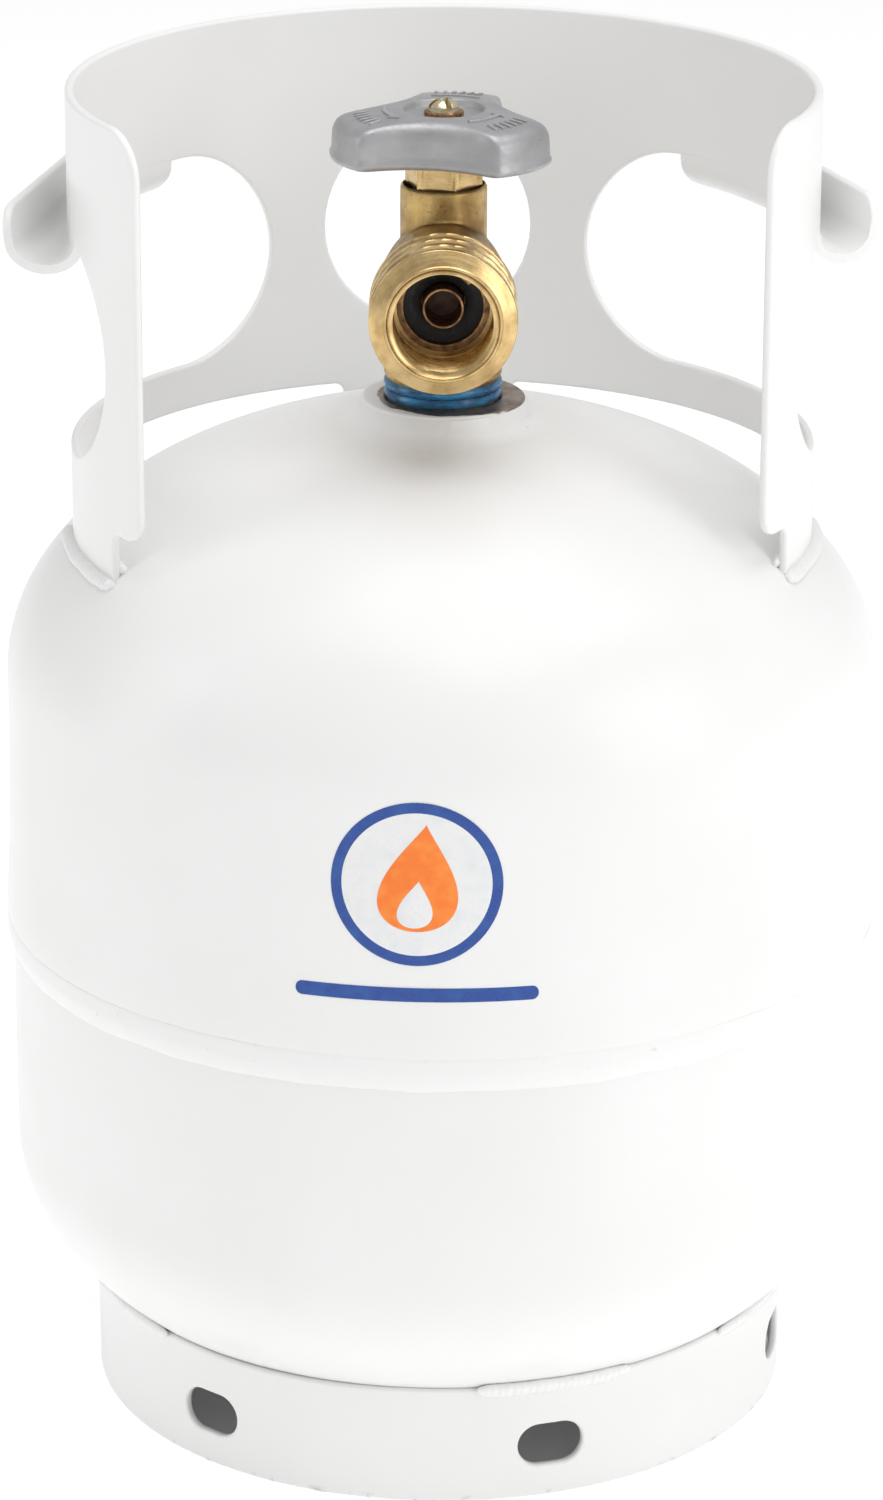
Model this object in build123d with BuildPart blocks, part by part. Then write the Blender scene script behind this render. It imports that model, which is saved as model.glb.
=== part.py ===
from build123d import *
from math import acos, cos, degrees, radians, sin, sqrt
import os

# Small upright steel propane cylinder with an overfill-protection valve.
# Millimetres. Origin at the centre of the foot ring's lower edge, +Z up, valve outlet towards -Y.
# An azimuth is an angle about +Z, counted from -Y towards +X.

# Pressure vessel
wall = 2.0
shell_r = 101.6
lower_shell_r = 101.4
skirt_r = 102.8
head_rise = 60.7
head_base_z = 177.0
bottom_drop = 58.9
bottom_base_z = 63.5
lap_bottom_z = 118.4
lap_top_z = 127.0
weld_bottom_z = 110.7
lap_gap = 0.05

# Valve boss in the top of the head
boss_r = 19.0
boss_bore_r = 13.0
boss_top_z = 241.9
boss_bottom_z = 227.0

# Guard collar, one rolled sheet
collar_r = 85.65
collar_sheet = 2.0
collar_low_z = 221.5
collar_high_z = 315.0
collar_turn = 2.75
collar_gap_half = 54.75
slot_r = 25.5
slot_z = 258.0
slot_azimuths = (82.0, 135.5)
window_r = 25.0
window_z = 261.5
front_foot = (62.5, 92.0)
rear_foot = (166.0, 194.0)

# Hand grips: gutters curled outwards from the top edge of each hand slot
# Each grip as its azimuth and how much further out it reaches
grips = ((107.5, 0.0), (-105.0, 1.8))
grip_half = 38.5
grip_sheet = 1.6
grip_root_z = 287.0
grip_bend_z = 282.6
grip_floor_z = 276.4
grip_tip = (91.2, 288.6)
grip_bend_n = 90.0

# Foot ring
foot_r = 82.65
foot_sheet = 2.0
foot_top_z = 28.6
drain_count = 6
drain_first = 18.3
drain_pitch = 58.6
drain_z = 13.0
drain_length = 15.6
drain_height = 10.2

# Valve
outlet_z = 270.0
outlet_thread_r = 16.67
outlet_face_y = 42.4
pol_bore_r = 11.18
pol_relief_end = 28.8
pol_bore_end = 26.5
check_bore_r = 10.5
check_bore_end = 14.0
inlet_r = 12.95
inlet_bore_r = 6.5
valve_tail_z = 222.0
nozzle_r = 3.5
nozzle_low_z = 256.0
seat_z = 260.0
chamber_r = 7.5
neck_r = 9.9
neck_top_z = 292.0
bonnet_recess_r = 9.25
bonnet_recess_z = 290.0
relief_z = 254.8
relief_boss_r = 8.2
relief_seat_y = 14.0
relief_end_y = 27.0
relief_bore_r = 6.5
vent_azimuth = 215.0
vent_z = 268.0
vent_riser_r = 9.9
vent_boss_end = 15.5
vent_bore_r = 2.5

# Stem, bonnet and handwheel
stem_r = 3.5
running_gap = 0.05
bonnet_low_z = 279.0
hex_low_z = 290.8
hex_high_z = 298.6
hex_flats = 15.6
wheel_low_z = 298.4
wheel_rim_z = 307.2
wheel_crown_z = 309.6
wheel_tip_r = 25.8
wheel_lobe_half = 23.0
wheel_turn = -10.0
wheel_side_sag = 4.5
wheel_skin = 2.8
wheel_recess_r = 9.05
wheel_recess_z = 307.7
wheel_cavity_z = 304.2
hub_r = 6.4
hub_low_z = 299.0
stem_head_r = 3.9
screw_head_r = 3.5
screw_top_z = 311.5

# Overfill stop under the valve
opd_r = 8.0
opd_bore_r = 6.0
opd_low_z = 196.0
opd_seat_z = 214.0
pivot_x = -3.5
pivot_z = 203.0
arm_droop = 30.0
arm_half_width = 1.6
arm_half_depth = 1.2
float_r = 8.5

os.makedirs("parts", exist_ok=True)


def save(piece, label):
    """Label a finished piece and write its STEP file."""
    piece.part.label = label
    export_step(piece.part, f"parts/{label}.step")


def radial_plane(azimuth, z=0.0):
    """Vertical plane through the axis: local x points outwards at the azimuth, local y is +Z."""
    a = radians(azimuth)
    return Plane(origin=(0, 0, z), x_dir=(sin(a), -cos(a), 0), z_dir=(-cos(a), -sin(a), 0))


def outward_plane(azimuth, radius, z):
    """Plane whose normal points outwards at the azimuth."""
    a = radians(azimuth)
    out = (sin(a), -cos(a), 0)
    return Plane(origin=(radius * out[0], radius * out[1], z), x_dir=(cos(a), sin(a), 0), z_dir=out)


def head_z(r):
    """Height of the upper head's outer surface at radius r."""
    return head_base_z + head_rise * sqrt(1 - (r / shell_r) ** 2)


def bottom_z(r):
    """Height of the lower head's outer surface at radius r."""
    return bottom_base_z - bottom_drop * sqrt(1 - (r / lower_shell_r) ** 2)


def ellipse_arc(centre_z, x_radius, y_radius, start, end):
    """Arc of an ellipse centred on the axis, from one angle in degrees up to another."""
    return EllipticalCenterArc(
        (0, centre_z), x_radius, y_radius, start_angle=start, arc_size=end - start
    )


def ellipse_angle(r, radius):
    """Angle in degrees on an ellipse of the given half-width where its x is r."""
    return degrees(acos(r / radius))


# Pressure vessel -------------------------------------------------------------------------------

inner_r = shell_r - wall
lap_r = skirt_r - wall
with BuildPart() as upper_shell:
    with BuildSketch(Plane.XZ):
        with BuildLine():
            outer_end = ellipse_angle(boss_r, shell_r)
            inner_end = ellipse_angle(boss_r, inner_r)
            outer = ellipse_arc(head_base_z, shell_r, head_rise, 0, outer_end)
            inner = ellipse_arc(head_base_z, inner_r, head_rise - wall, 0, inner_end)
            Line(outer @ 1, inner @ 1)
            Polyline(
                outer @ 0,
                (shell_r, 160),
                (shell_r + 0.35, 138),
                (skirt_r, 123.5),
                (skirt_r, lap_bottom_z),
                (lap_r, lap_bottom_z),
                (lap_r, lap_top_z + 1),
                (inner_r, lap_top_z + 8),
                inner @ 0,
            )
        make_face()
    revolve(axis=Axis.Z)
save(upper_shell, "upper_shell")

joggle_r = lap_r - lap_gap
with BuildPart() as lower_shell:
    with BuildSketch(Plane.XZ):
        with BuildLine():
            outer = ellipse_arc(bottom_base_z, lower_shell_r, bottom_drop, 270, 360)
            inner = ellipse_arc(bottom_base_z, lower_shell_r - wall, bottom_drop - wall, 270, 360)
            Line(outer @ 0, inner @ 0)
            Polyline(
                outer @ 1,
                (lower_shell_r, weld_bottom_z + 1.3),
                (joggle_r, weld_bottom_z + 3.3),
                (joggle_r, lap_top_z),
                (joggle_r - wall, lap_top_z),
                (joggle_r - wall, weld_bottom_z + 3.3),
                (lower_shell_r - wall, weld_bottom_z + 1.3),
                inner @ 1,
            )
        make_face()
    revolve(axis=Axis.Z)
save(lower_shell, "lower_shell")

with BuildPart() as girth_weld:
    with BuildSketch(Plane.XZ):
        with BuildLine():
            low = (lower_shell_r, weld_bottom_z)
            high = (skirt_r - 0.15, lap_bottom_z)
            Polyline(
                low,
                (lower_shell_r, weld_bottom_z + 1.3),
                (joggle_r, weld_bottom_z + 3.3),
                (joggle_r, lap_bottom_z),
                high,
            )
            middle = ((low[0] + high[0]) / 2 + 0.35, (low[1] + high[1]) / 2)
            ThreePointArc(high, middle, low)
        make_face()
    revolve(axis=Axis.Z)
save(girth_weld, "girth_weld")

with BuildPart() as valve_boss:
    with BuildSketch(Plane.XZ):
        Polygon(
            (boss_bore_r, boss_bottom_z),
            (boss_r, boss_bottom_z),
            (boss_r, boss_top_z - 0.7),
            (boss_r - 0.7, boss_top_z),
            (boss_bore_r + 1.1, boss_top_z),
            (boss_bore_r, boss_top_z - 1.1),
            align=None,
        )
    revolve(axis=Axis.Z)
save(valve_boss, "valve_boss")

boss_weld_r = 25.5
with BuildPart() as boss_weld:
    with BuildSketch(Plane.XZ):
        with BuildLine():
            skin = ellipse_arc(
                head_base_z,
                shell_r,
                head_rise,
                ellipse_angle(boss_weld_r, shell_r),
                ellipse_angle(boss_r, shell_r),
            )
            top = (boss_r, boss_top_z - 1.0)
            Line(skin @ 1, top)
            ThreePointArc(top, (boss_r + 2.6, head_z(boss_r + 2.6) + 1.75), skin @ 0)
        make_face()
    revolve(axis=Axis.Z)
save(boss_weld, "boss_weld")

# Guard collar ----------------------------------------------------------------------------------

collar_inner_r = collar_r - collar_sheet
feet = (front_foot, rear_foot, (-front_foot[1], -front_foot[0]))
foot_spaces = (
    (collar_gap_half - 5, front_foot[0]),
    (front_foot[1], rear_foot[0]),
    (rear_foot[1], 360 - front_foot[1]),
    (360 - front_foot[0], 365 - collar_gap_half),
)
with BuildPart() as collar:
    with BuildSketch(radial_plane(collar_turn + collar_gap_half)):
        with Locations((collar_r - collar_sheet / 2, (200 + collar_high_z) / 2)):
            Rectangle(collar_sheet, collar_high_z - 200)
    revolve(axis=Axis.Z, revolution_arc=360 - 2 * collar_gap_half)
    # The sheet ends on the head, and only its feet reach down that far.
    with BuildSketch(Plane.XZ):
        with BuildLine():
            skin = ellipse_arc(head_base_z, shell_r, head_rise, 10, 60)
            Polyline(skin @ 1, (0, (skin @ 1).Y), (0, (skin @ 0).Y), skin @ 0)
        make_face()
    revolve(axis=Axis.Z, mode=Mode.SUBTRACT)
    for start, end in foot_spaces:
        with BuildSketch(radial_plane(collar_turn + start)):
            with Locations((collar_r, collar_low_z - 20)):
                Rectangle(20, 40)
        revolve(axis=Axis.Z, revolution_arc=end - start, mode=Mode.SUBTRACT)
    corners = collar.edges().filter_by(lambda edge: abs(edge.length - collar_sheet) < 0.01)
    front_corners = corners.sort_by(Axis.Y)
    high_corners = [e for e in front_corners if abs(e.center().Z - collar_high_z) < 0.1][:2]
    fillet(high_corners, radius=11)
    corners = collar.edges().filter_by(lambda edge: abs(edge.length - collar_sheet) < 0.01)
    front_corners = corners.sort_by(Axis.Y)
    low_corners = [e for e in front_corners if abs(e.center().Z - collar_low_z) < 0.1][:2]
    fillet(low_corners, radius=5.5)
    # Hand slots: two round ends joined by a straight run, on each side.
    for side in (1, -1):
        low_azimuth, high_azimuth = sorted(collar_turn + side * a for a in slot_azimuths)
        for azimuth in (low_azimuth, high_azimuth):
            with BuildSketch(outward_plane(azimuth, 60, slot_z)):
                Circle(slot_r)
            extrude(amount=60, mode=Mode.SUBTRACT)
        with BuildSketch(radial_plane(low_azimuth, slot_z)):
            with Locations((collar_r, 0)):
                Rectangle(20, 2 * slot_r)
        revolve(axis=Axis.Z, revolution_arc=high_azimuth - low_azimuth, mode=Mode.SUBTRACT)
    # Round window at the rear.
    with BuildSketch(outward_plane(180 + collar_turn, 60, window_z)):
        Circle(window_r)
    extrude(amount=60, mode=Mode.SUBTRACT)
    # Hand grips: sections across a straight gutter whose inner leg stays on the rolled wall.
    mid_r = collar_r - collar_sheet / 2
    half = grip_sheet / 2
    for azimuth, reach in grips:
        normal = radians(collar_turn + azimuth)
        out = Vector(sin(normal), -cos(normal), 0)
        along = Vector(-out.Y, out.X, 0)
        with BuildPart(mode=Mode.PRIVATE) as grip:
            for station in (-1, -0.5, 0, 0.5, 1):
                s = station * grip_half
                leg = sqrt(mid_r**2 - s**2)
                centre = (leg + grip_bend_n + reach) / 2
                span = grip_bend_n + reach - centre
                drop = grip_bend_z - grip_floor_z
                with BuildSketch(Plane(origin=along * s, x_dir=out, z_dir=-along)):
                    with BuildLine():
                        outside = EllipticalCenterArc(
                            (centre, grip_bend_z), span + half, drop + half, 180, arc_size=180
                        )
                        inside = EllipticalCenterArc(
                            (centre, grip_bend_z), span - half, drop - half, 180, arc_size=180
                        )
                        Polyline(
                            outside @ 0,
                            (leg - half, grip_root_z),
                            (leg + half, grip_root_z),
                            inside @ 0,
                        )
                        Polyline(
                            inside @ 1,
                            (grip_tip[0] + reach - half, grip_tip[1]),
                            (grip_tip[0] + reach + half, grip_tip[1]),
                            outside @ 1,
                        )
                    make_face()
            loft()
        add(grip.part)
save(collar, "collar")

with BuildPart() as collar_welds:
    for start, end in feet:
        for r, reach in ((collar_r, 2.6), (collar_inner_r, -2.2)):
            with BuildSketch(radial_plane(collar_turn + start - 1.2)):
                with BuildLine():
                    low, high = sorted((r, r + reach))
                    skin = ellipse_arc(
                        head_base_z,
                        shell_r,
                        head_rise,
                        ellipse_angle(high, shell_r),
                        ellipse_angle(low, shell_r),
                    )
                    foot = (r, head_z(r) + 2.8)
                    toe = (r + reach, head_z(r + reach))
                    crown = ((r + toe[0]) / 2 + 0.12 * reach, (foot[1] + toe[1]) / 2 + 0.35)
                    Line((r, head_z(r)), foot)
                    ThreePointArc(foot, crown, toe)
                make_face()
            revolve(axis=Axis.Z, revolution_arc=end - start + 2.4)
save(collar_welds, "collar_welds")

# Foot ring -------------------------------------------------------------------------------------

foot_inner_r = foot_r - foot_sheet
with BuildPart() as foot_ring:
    with BuildSketch(Plane.XZ):
        Polygon(
            (foot_inner_r, 0.5),
            (foot_inner_r + 0.5, 0),
            (foot_r - 0.5, 0),
            (foot_r, 0.5),
            (foot_r, foot_top_z),
            (foot_inner_r, bottom_z(foot_inner_r) - 0.05),
            align=None,
        )
    revolve(axis=Axis.Z)
    for index in range(drain_count):
        with BuildSketch(outward_plane(drain_first + (index - 1) * drain_pitch, 60, drain_z)):
            SlotOverall(drain_length, drain_height)
        extrude(amount=40, mode=Mode.SUBTRACT)
save(foot_ring, "foot_ring")

foot_weld_runs = ((6, 32), (52, 96), (150, 210), (-96, -50))
with BuildPart() as foot_ring_welds:
    for start, end in foot_weld_runs:
        with BuildSketch(radial_plane(start)):
            with BuildLine():
                reach = foot_r + 3.4
                skin = ellipse_arc(
                    bottom_base_z,
                    lower_shell_r,
                    bottom_drop,
                    -ellipse_angle(foot_r, lower_shell_r),
                    -ellipse_angle(reach, lower_shell_r),
                )
                heel = (foot_r, foot_top_z - 2.6)
                Line(skin @ 0, heel)
                ThreePointArc(heel, (foot_r + 1.9, foot_top_z + 0.5), skin @ 1)
            make_face()
        revolve(axis=Axis.Z, revolution_arc=end - start)
save(foot_ring_welds, "foot_ring_welds")

# Valve body ------------------------------------------------------------------------------------

# Horizontal revolve planes: local x runs along the port, local y is +Z.
outlet_plane = Plane(origin=(0, 0, outlet_z), x_dir=(0, -1, 0), z_dir=(-1, 0, 0))
relief_plane = Plane(origin=(0, 0, relief_z), x_dir=(0, 1, 0), z_dir=(1, 0, 0))
vent_plane = radial_plane(vent_azimuth, vent_z)
outlet_axis = Axis((0, 0, outlet_z), (0, -1, 0))
relief_axis = Axis((0, 0, relief_z), (0, 1, 0))
vent_out = (sin(radians(vent_azimuth)), -cos(radians(vent_azimuth)), 0)
vent_axis = Axis((0, 0, vent_z), vent_out)
riser_spot = (vent_riser_r * vent_out[0], vent_riser_r * vent_out[1])

with BuildPart() as valve_body:
    with BuildSketch(Plane.XZ):
        with BuildLine():
            Polyline(
                (0, neck_top_z),
                (neck_r - 0.4, neck_top_z),
                (neck_r, neck_top_z - 0.4),
                (neck_r, 277.5),
            )
            ThreePointArc((neck_r, 277.5), (12.9, 273.2), (14.2, 267))
            ThreePointArc((14.2, 267), (14.1, 258), (13.4, 252))
            Polyline(
                (13.4, 252),
                (13.4, boss_top_z + 5.5),
                (inlet_r, boss_top_z + 4.8),
                (inlet_r, valve_tail_z + 1),
                (inlet_r - 1, valve_tail_z),
                (0, valve_tail_z),
                (0, neck_top_z),
            )
        make_face()
    revolve(axis=Axis.Z)
    with BuildSketch(outlet_plane):
        Polygon(
            (0, 0),
            (0, 13.5),
            (19.5, 15.2),
            (21, 14.2),
            (24, 14.2),
            (25.2, outlet_thread_r),
            (outlet_face_y - 2.2, outlet_thread_r),
            (outlet_face_y - 1.0, outlet_thread_r - 1.6),
            (outlet_face_y - 1.0, 13.3),
            (outlet_face_y, 13.0),
            (outlet_face_y, 0),
            align=None,
        )
    revolve(axis=outlet_axis)
    with BuildSketch(relief_plane):
        Polygon(
            (0, 0),
            (0, relief_boss_r),
            (relief_end_y - 0.6, relief_boss_r),
            (relief_end_y, relief_boss_r - 0.6),
            (relief_end_y, 0),
            align=None,
        )
    revolve(axis=relief_axis)
    with BuildSketch(vent_plane):
        Polygon((0, 0), (0, 5.4), (vent_boss_end, 5.0), (vent_boss_end, 0), align=None)
    revolve(axis=vent_axis)
    # Gas way: inlet bore, seat nozzle, chamber and the recess round the bonnet nut.
    with BuildSketch(Plane.XZ):
        Polygon(
            (0, valve_tail_z - 1),
            (inlet_bore_r, valve_tail_z - 1),
            (inlet_bore_r, nozzle_low_z),
            (nozzle_r, nozzle_low_z),
            (nozzle_r, seat_z),
            (chamber_r, seat_z),
            (chamber_r, bonnet_recess_z),
            (bonnet_recess_r, bonnet_recess_z),
            (bonnet_recess_r, neck_top_z + 1),
            (0, neck_top_z + 1),
            align=None,
        )
    revolve(axis=Axis.Z, mode=Mode.SUBTRACT)
    # Outlet way: passage, check valve bore, threaded bore and its mouth chamfer.
    with BuildSketch(outlet_plane):
        Polygon(
            (chamber_r - 2, 0),
            (chamber_r - 2, 4),
            (check_bore_end, 4),
            (check_bore_end, check_bore_r),
            (pol_bore_end, check_bore_r),
            (pol_bore_end, pol_bore_r + 0.5),
            (pol_relief_end, pol_bore_r + 0.5),
            (pol_relief_end, pol_bore_r),
            (outlet_face_y - 1.2, pol_bore_r),
            (outlet_face_y, pol_bore_r + 1.0),
            (outlet_face_y + 1, pol_bore_r + 1.0),
            (outlet_face_y + 1, 0),
            align=None,
        )
    revolve(axis=outlet_axis, mode=Mode.SUBTRACT)
    with BuildSketch(relief_plane):
        Polygon(
            (inlet_bore_r - 2, 0),
            (inlet_bore_r - 2, 3),
            (relief_seat_y, 3),
            (relief_seat_y, relief_bore_r),
            (relief_end_y + 1, relief_bore_r),
            (relief_end_y + 1, 0),
            align=None,
        )
    revolve(axis=relief_axis, mode=Mode.SUBTRACT)
    # Vent way: riser from the dip tube, then the bleed screw's bore.
    with BuildSketch(Plane.XY.offset(valve_tail_z - 1)):
        with Locations(riser_spot):
            Circle(1.52)
    extrude(amount=vent_z - valve_tail_z + 1, mode=Mode.SUBTRACT)
    with BuildSketch(vent_plane):
        Polygon(
            (vent_riser_r, 0),
            (vent_riser_r, vent_bore_r),
            (vent_boss_end + 1, vent_bore_r),
            (vent_boss_end + 1, 0),
            align=None,
        )
    revolve(axis=vent_axis, mode=Mode.SUBTRACT)
save(valve_body, "valve_body")

sealant_low_z = boss_top_z + 0.05
with BuildPart() as thread_sealant:
    for index in range(2):
        low_z = sealant_low_z + 2.35 * index
        with BuildSketch(Plane.XZ):
            with BuildLine():
                Line((inlet_r + 0.02, low_z + 2.3), (inlet_r + 0.02, low_z))
                ThreePointArc(
                    (inlet_r + 0.02, low_z), (inlet_r + 0.75, low_z + 1.15), (inlet_r + 0.02, low_z + 2.3)
                )
            make_face()
        revolve(axis=Axis.Z)
save(thread_sealant, "thread_sealant")

# Bonnet, stem and handwheel --------------------------------------------------------------------

with BuildPart() as bonnet_nut:
    with BuildSketch(Plane.XY.offset(hex_low_z)):
        RegularPolygon(hex_flats / 2, 6, major_radius=False, rotation=12)
    extrude(amount=hex_high_z - hex_low_z)
    chamfer(bonnet_nut.faces().sort_by(Axis.Z)[-1].edges(), length=0.5)
    with BuildSketch(Plane.XY.offset(bonnet_low_z)):
        Circle(chamber_r - running_gap)
    extrude(amount=hex_low_z - bonnet_low_z)
    with BuildSketch(Plane.XY.offset(bonnet_low_z)):
        Circle(stem_r + running_gap)
    extrude(amount=hex_high_z - bonnet_low_z, mode=Mode.SUBTRACT)
save(bonnet_nut, "bonnet_nut")

with BuildPart() as bonnet_gasket:
    with BuildSketch(Plane.XY.offset(bonnet_recess_z)):
        Circle(9.0)
        Circle(chamber_r, mode=Mode.SUBTRACT)
    extrude(amount=hex_low_z - bonnet_recess_z)
save(bonnet_gasket, "bonnet_gasket")

flange_low_z = 275.5
tang_low_z = 268.6
screw_low_z = 297.5
seal_heights = (284.0, 288.5)
with BuildPart() as spindle:
    with BuildSketch(Plane.XZ):
        Polygon(
            (0, flange_low_z),
            (5.5, flange_low_z),
            (5.5, bonnet_low_z - 0.1),
            (stem_r, bonnet_low_z - 0.1),
            (stem_r, hub_low_z),
            (stem_head_r, hub_low_z),
            (stem_head_r, wheel_recess_z),
            (0, wheel_recess_z),
            align=None,
        )
    revolve(axis=Axis.Z)
    with BuildSketch(Plane.XY.offset(tang_low_z)):
        Rectangle(6.0, 2.4)
    extrude(amount=flange_low_z - tang_low_z)
    for height in seal_heights:
        with BuildSketch(Plane.XZ):
            with Locations((stem_r, height)):
                Rectangle(2.0, 1.4)
        revolve(axis=Axis.Z, mode=Mode.SUBTRACT)
    with BuildSketch(Plane.XY.offset(screw_low_z - 0.5)):
        Circle(1.8)
    extrude(amount=wheel_recess_z - screw_low_z + 1, mode=Mode.SUBTRACT)
save(spindle, "spindle")

with BuildPart() as stem_seals:
    for height in seal_heights:
        with BuildSketch(Plane.XZ):
            with Locations((stem_r - 0.48, height)):
                Circle(0.5)
        revolve(axis=Axis.Z)
save(stem_seals, "stem_seals")


def wheel_point(azimuth, radius):
    """Point of the handwheel's outline."""
    a = radians(azimuth)
    return (radius * sin(a), -radius * cos(a))


def wheel_outline(inset, corner):
    """Three-lobed outline drawn in by an inset, with its corners rounded."""
    tip_r = wheel_tip_r - inset
    half = wheel_lobe_half - 0.7 * inset
    side_r = wheel_tip_r * cos(radians(60 - wheel_lobe_half)) - wheel_side_sag - inset
    with BuildSketch() as outline:
        with BuildLine():
            for k in range(3):
                middle = wheel_turn + 60 + 120 * k
                start = wheel_point(middle - half, tip_r)
                end = wheel_point(middle + half, tip_r)
                following = wheel_point(middle + 120 - half, tip_r)
                ThreePointArc(start, wheel_point(middle, tip_r + 0.4), end)
                ThreePointArc(end, wheel_point(middle + 60, side_r), following)
        make_face()
        fillet(outline.vertices(), radius=corner)
    return outline.sketch


crown_radius = (wheel_tip_r**2 + (wheel_crown_z - wheel_rim_z) ** 2) / (
    2 * (wheel_crown_z - wheel_rim_z)
)
with BuildPart() as handwheel:
    with BuildSketch(Plane.XY.offset(wheel_low_z)):
        add(wheel_outline(0, 2.0))
    extrude(amount=wheel_crown_z - wheel_low_z + 1)
    # The crown is domed, and stands highest round the screw.
    with BuildSketch(Plane.XZ):
        with BuildLine():
            dome = CenterArc(
                (0, wheel_crown_z - crown_radius), crown_radius, start_angle=70, arc_size=20
            )
            Polyline(dome @ 1, (0, wheel_crown_z + 5), ((dome @ 0).X, wheel_crown_z + 5), dome @ 0)
        make_face()
    revolve(axis=Axis.Z, mode=Mode.SUBTRACT)
    fillet(handwheel.faces().sort_by(Axis.Z)[-1].edges(), radius=2.0)
    with BuildSketch(Plane.XY.offset(wheel_low_z)):
        add(wheel_outline(wheel_skin, 1.5))
    extrude(amount=wheel_cavity_z - wheel_low_z, mode=Mode.SUBTRACT)
    with BuildSketch(Plane.XY.offset(hub_low_z)):
        Circle(hub_r)
    extrude(amount=wheel_recess_z - hub_low_z)
    with BuildSketch(Plane.XY.offset(wheel_recess_z)):
        Circle(wheel_recess_r)
    extrude(amount=3, mode=Mode.SUBTRACT)
    with BuildSketch(Plane.XY.offset(wheel_low_z)):
        Circle(stem_head_r)
    extrude(amount=12, mode=Mode.SUBTRACT)
save(handwheel, "handwheel")

washer_r = 4.5
washer_thick = 0.9
with BuildPart() as lock_washer:
    with BuildSketch(Plane.XY.offset(wheel_recess_z)):
        Circle(washer_r)
        with PolarLocations(washer_r, 20):
            Circle(0.35, mode=Mode.SUBTRACT)
        Circle(2.2, mode=Mode.SUBTRACT)
    extrude(amount=washer_thick)
save(lock_washer, "lock_washer")

head_low_z = wheel_recess_z + washer_thick
with BuildPart() as handwheel_screw:
    with BuildSketch(Plane.XZ):
        with BuildLine():
            Polyline(
                (0, screw_top_z), (0, screw_low_z), (1.75, screw_low_z), (1.75, head_low_z),
                (screw_head_r, head_low_z), (screw_head_r, head_low_z + 1.3),
            )
            ThreePointArc(
                (screw_head_r, head_low_z + 1.3), (2.5, screw_top_z - 0.6), (0, screw_top_z)
            )
        make_face()
    revolve(axis=Axis.Z)
    with BuildSketch(Plane.XY.offset(screw_top_z - 2.1)):
        with Locations(Location((0, 0), 20)):
            Rectangle(10, 1.3)
            Rectangle(1.3, 10)
    extrude(amount=3, mode=Mode.SUBTRACT)
save(handwheel_screw, "handwheel_screw")

# Shut-off plug ---------------------------------------------------------------------------------

disc_top_z = 262.2
plug_low_z = 261.6
plug_high_z = 272.0
with BuildPart() as shut_off_plug:
    with BuildSketch(Plane.XZ):
        Polygon(
            (0, disc_top_z),
            (5.5, disc_top_z),
            (5.5, plug_low_z),
            (6.2, plug_low_z),
            (6.2, 267.5),
            (chamber_r - running_gap, 268.5),
            (chamber_r - running_gap, plug_high_z),
            (0, plug_high_z),
            align=None,
        )
    revolve(axis=Axis.Z)
    with BuildSketch(Plane.XY.offset(265.2)):
        Rectangle(6.4, 2.6)
    extrude(amount=10, mode=Mode.SUBTRACT)
save(shut_off_plug, "shut_off_plug")

with BuildPart() as seat_disc:
    with BuildSketch(Plane.XY.offset(seat_z + 0.05)):
        Circle(5.45)
    extrude(amount=disc_top_z - seat_z - 0.05)
save(seat_disc, "seat_disc")

# Outlet check valve ----------------------------------------------------------------------------

retainer_y = (24.6, 26.4)
seal_y = (21.7, 24.55)
nose_end_y = 28.5
flange_y = (19.6, 21.65)
spring_end_y = check_bore_end + 0.05
with BuildPart() as outlet_retainer:
    with BuildSketch(outlet_plane):
        with Locations(((retainer_y[0] + retainer_y[1]) / 2, 9.67)):
            Rectangle(retainer_y[1] - retainer_y[0], 1.56)
    revolve(axis=outlet_axis)
    for turn in (40, 220):
        with BuildSketch(Plane(origin=(0, 0, outlet_z), x_dir=(1, 0, 0), z_dir=(0, -1, 0))):
            with Locations(Location((0, 0), turn)):
                with Locations((0, -8.9)):
                    Rectangle(3.0, 1.6)
        extrude(amount=30, mode=Mode.SUBTRACT)
save(outlet_retainer, "outlet_retainer")

with BuildPart() as outlet_seal:
    with BuildSketch(outlet_plane):
        Polygon(
            (seal_y[0], 4.9), (seal_y[0], 10.4), (seal_y[1], 10.4), (seal_y[1], 7.0), (seal_y[1] - 0.6, 4.9),
            align=None,
        )
    revolve(axis=outlet_axis)
save(outlet_seal, "outlet_seal")

with BuildPart() as outlet_check:
    with BuildSketch(outlet_plane):
        Polygon(
            (12.0, 0),
            (12.0, 2.0),
            (flange_y[0], 2.0),
            (flange_y[0], 7.2),
            (flange_y[1], 7.2),
            (flange_y[1], 4.75),
            (nose_end_y, 4.75),
            (nose_end_y, 4.05),
            (20.6, 4.05),
            (20.6, 0),
            align=None,
        )
    revolve(axis=outlet_axis)
save(outlet_check, "outlet_check")


def compression_spring(radius, wire_r, length, turns, start, direction):
    """Round wire swept along a helix that starts at a point and stays inside the given length."""
    height = length - 2 * wire_r
    centre = Vector(*start) + Vector(*direction) * wire_r
    with BuildPart() as spring:
        with BuildLine() as path:
            Helix(
                pitch=height / turns,
                height=height,
                radius=radius,
                center=(centre.X, centre.Y, centre.Z),
                direction=direction,
            )
        with BuildSketch(Plane(origin=path.line @ 0, z_dir=path.line % 0)):
            Circle(wire_r)
        sweep(path=path.line, is_frenet=True)
    return spring


outlet_check_spring = compression_spring(
    5.2, 0.45, flange_y[0] - spring_end_y, 2.5, (0, -spring_end_y, outlet_z), (0, -1, 0)
)
save(outlet_check_spring, "outlet_check_spring")

# Pressure relief valve -------------------------------------------------------------------------

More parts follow.
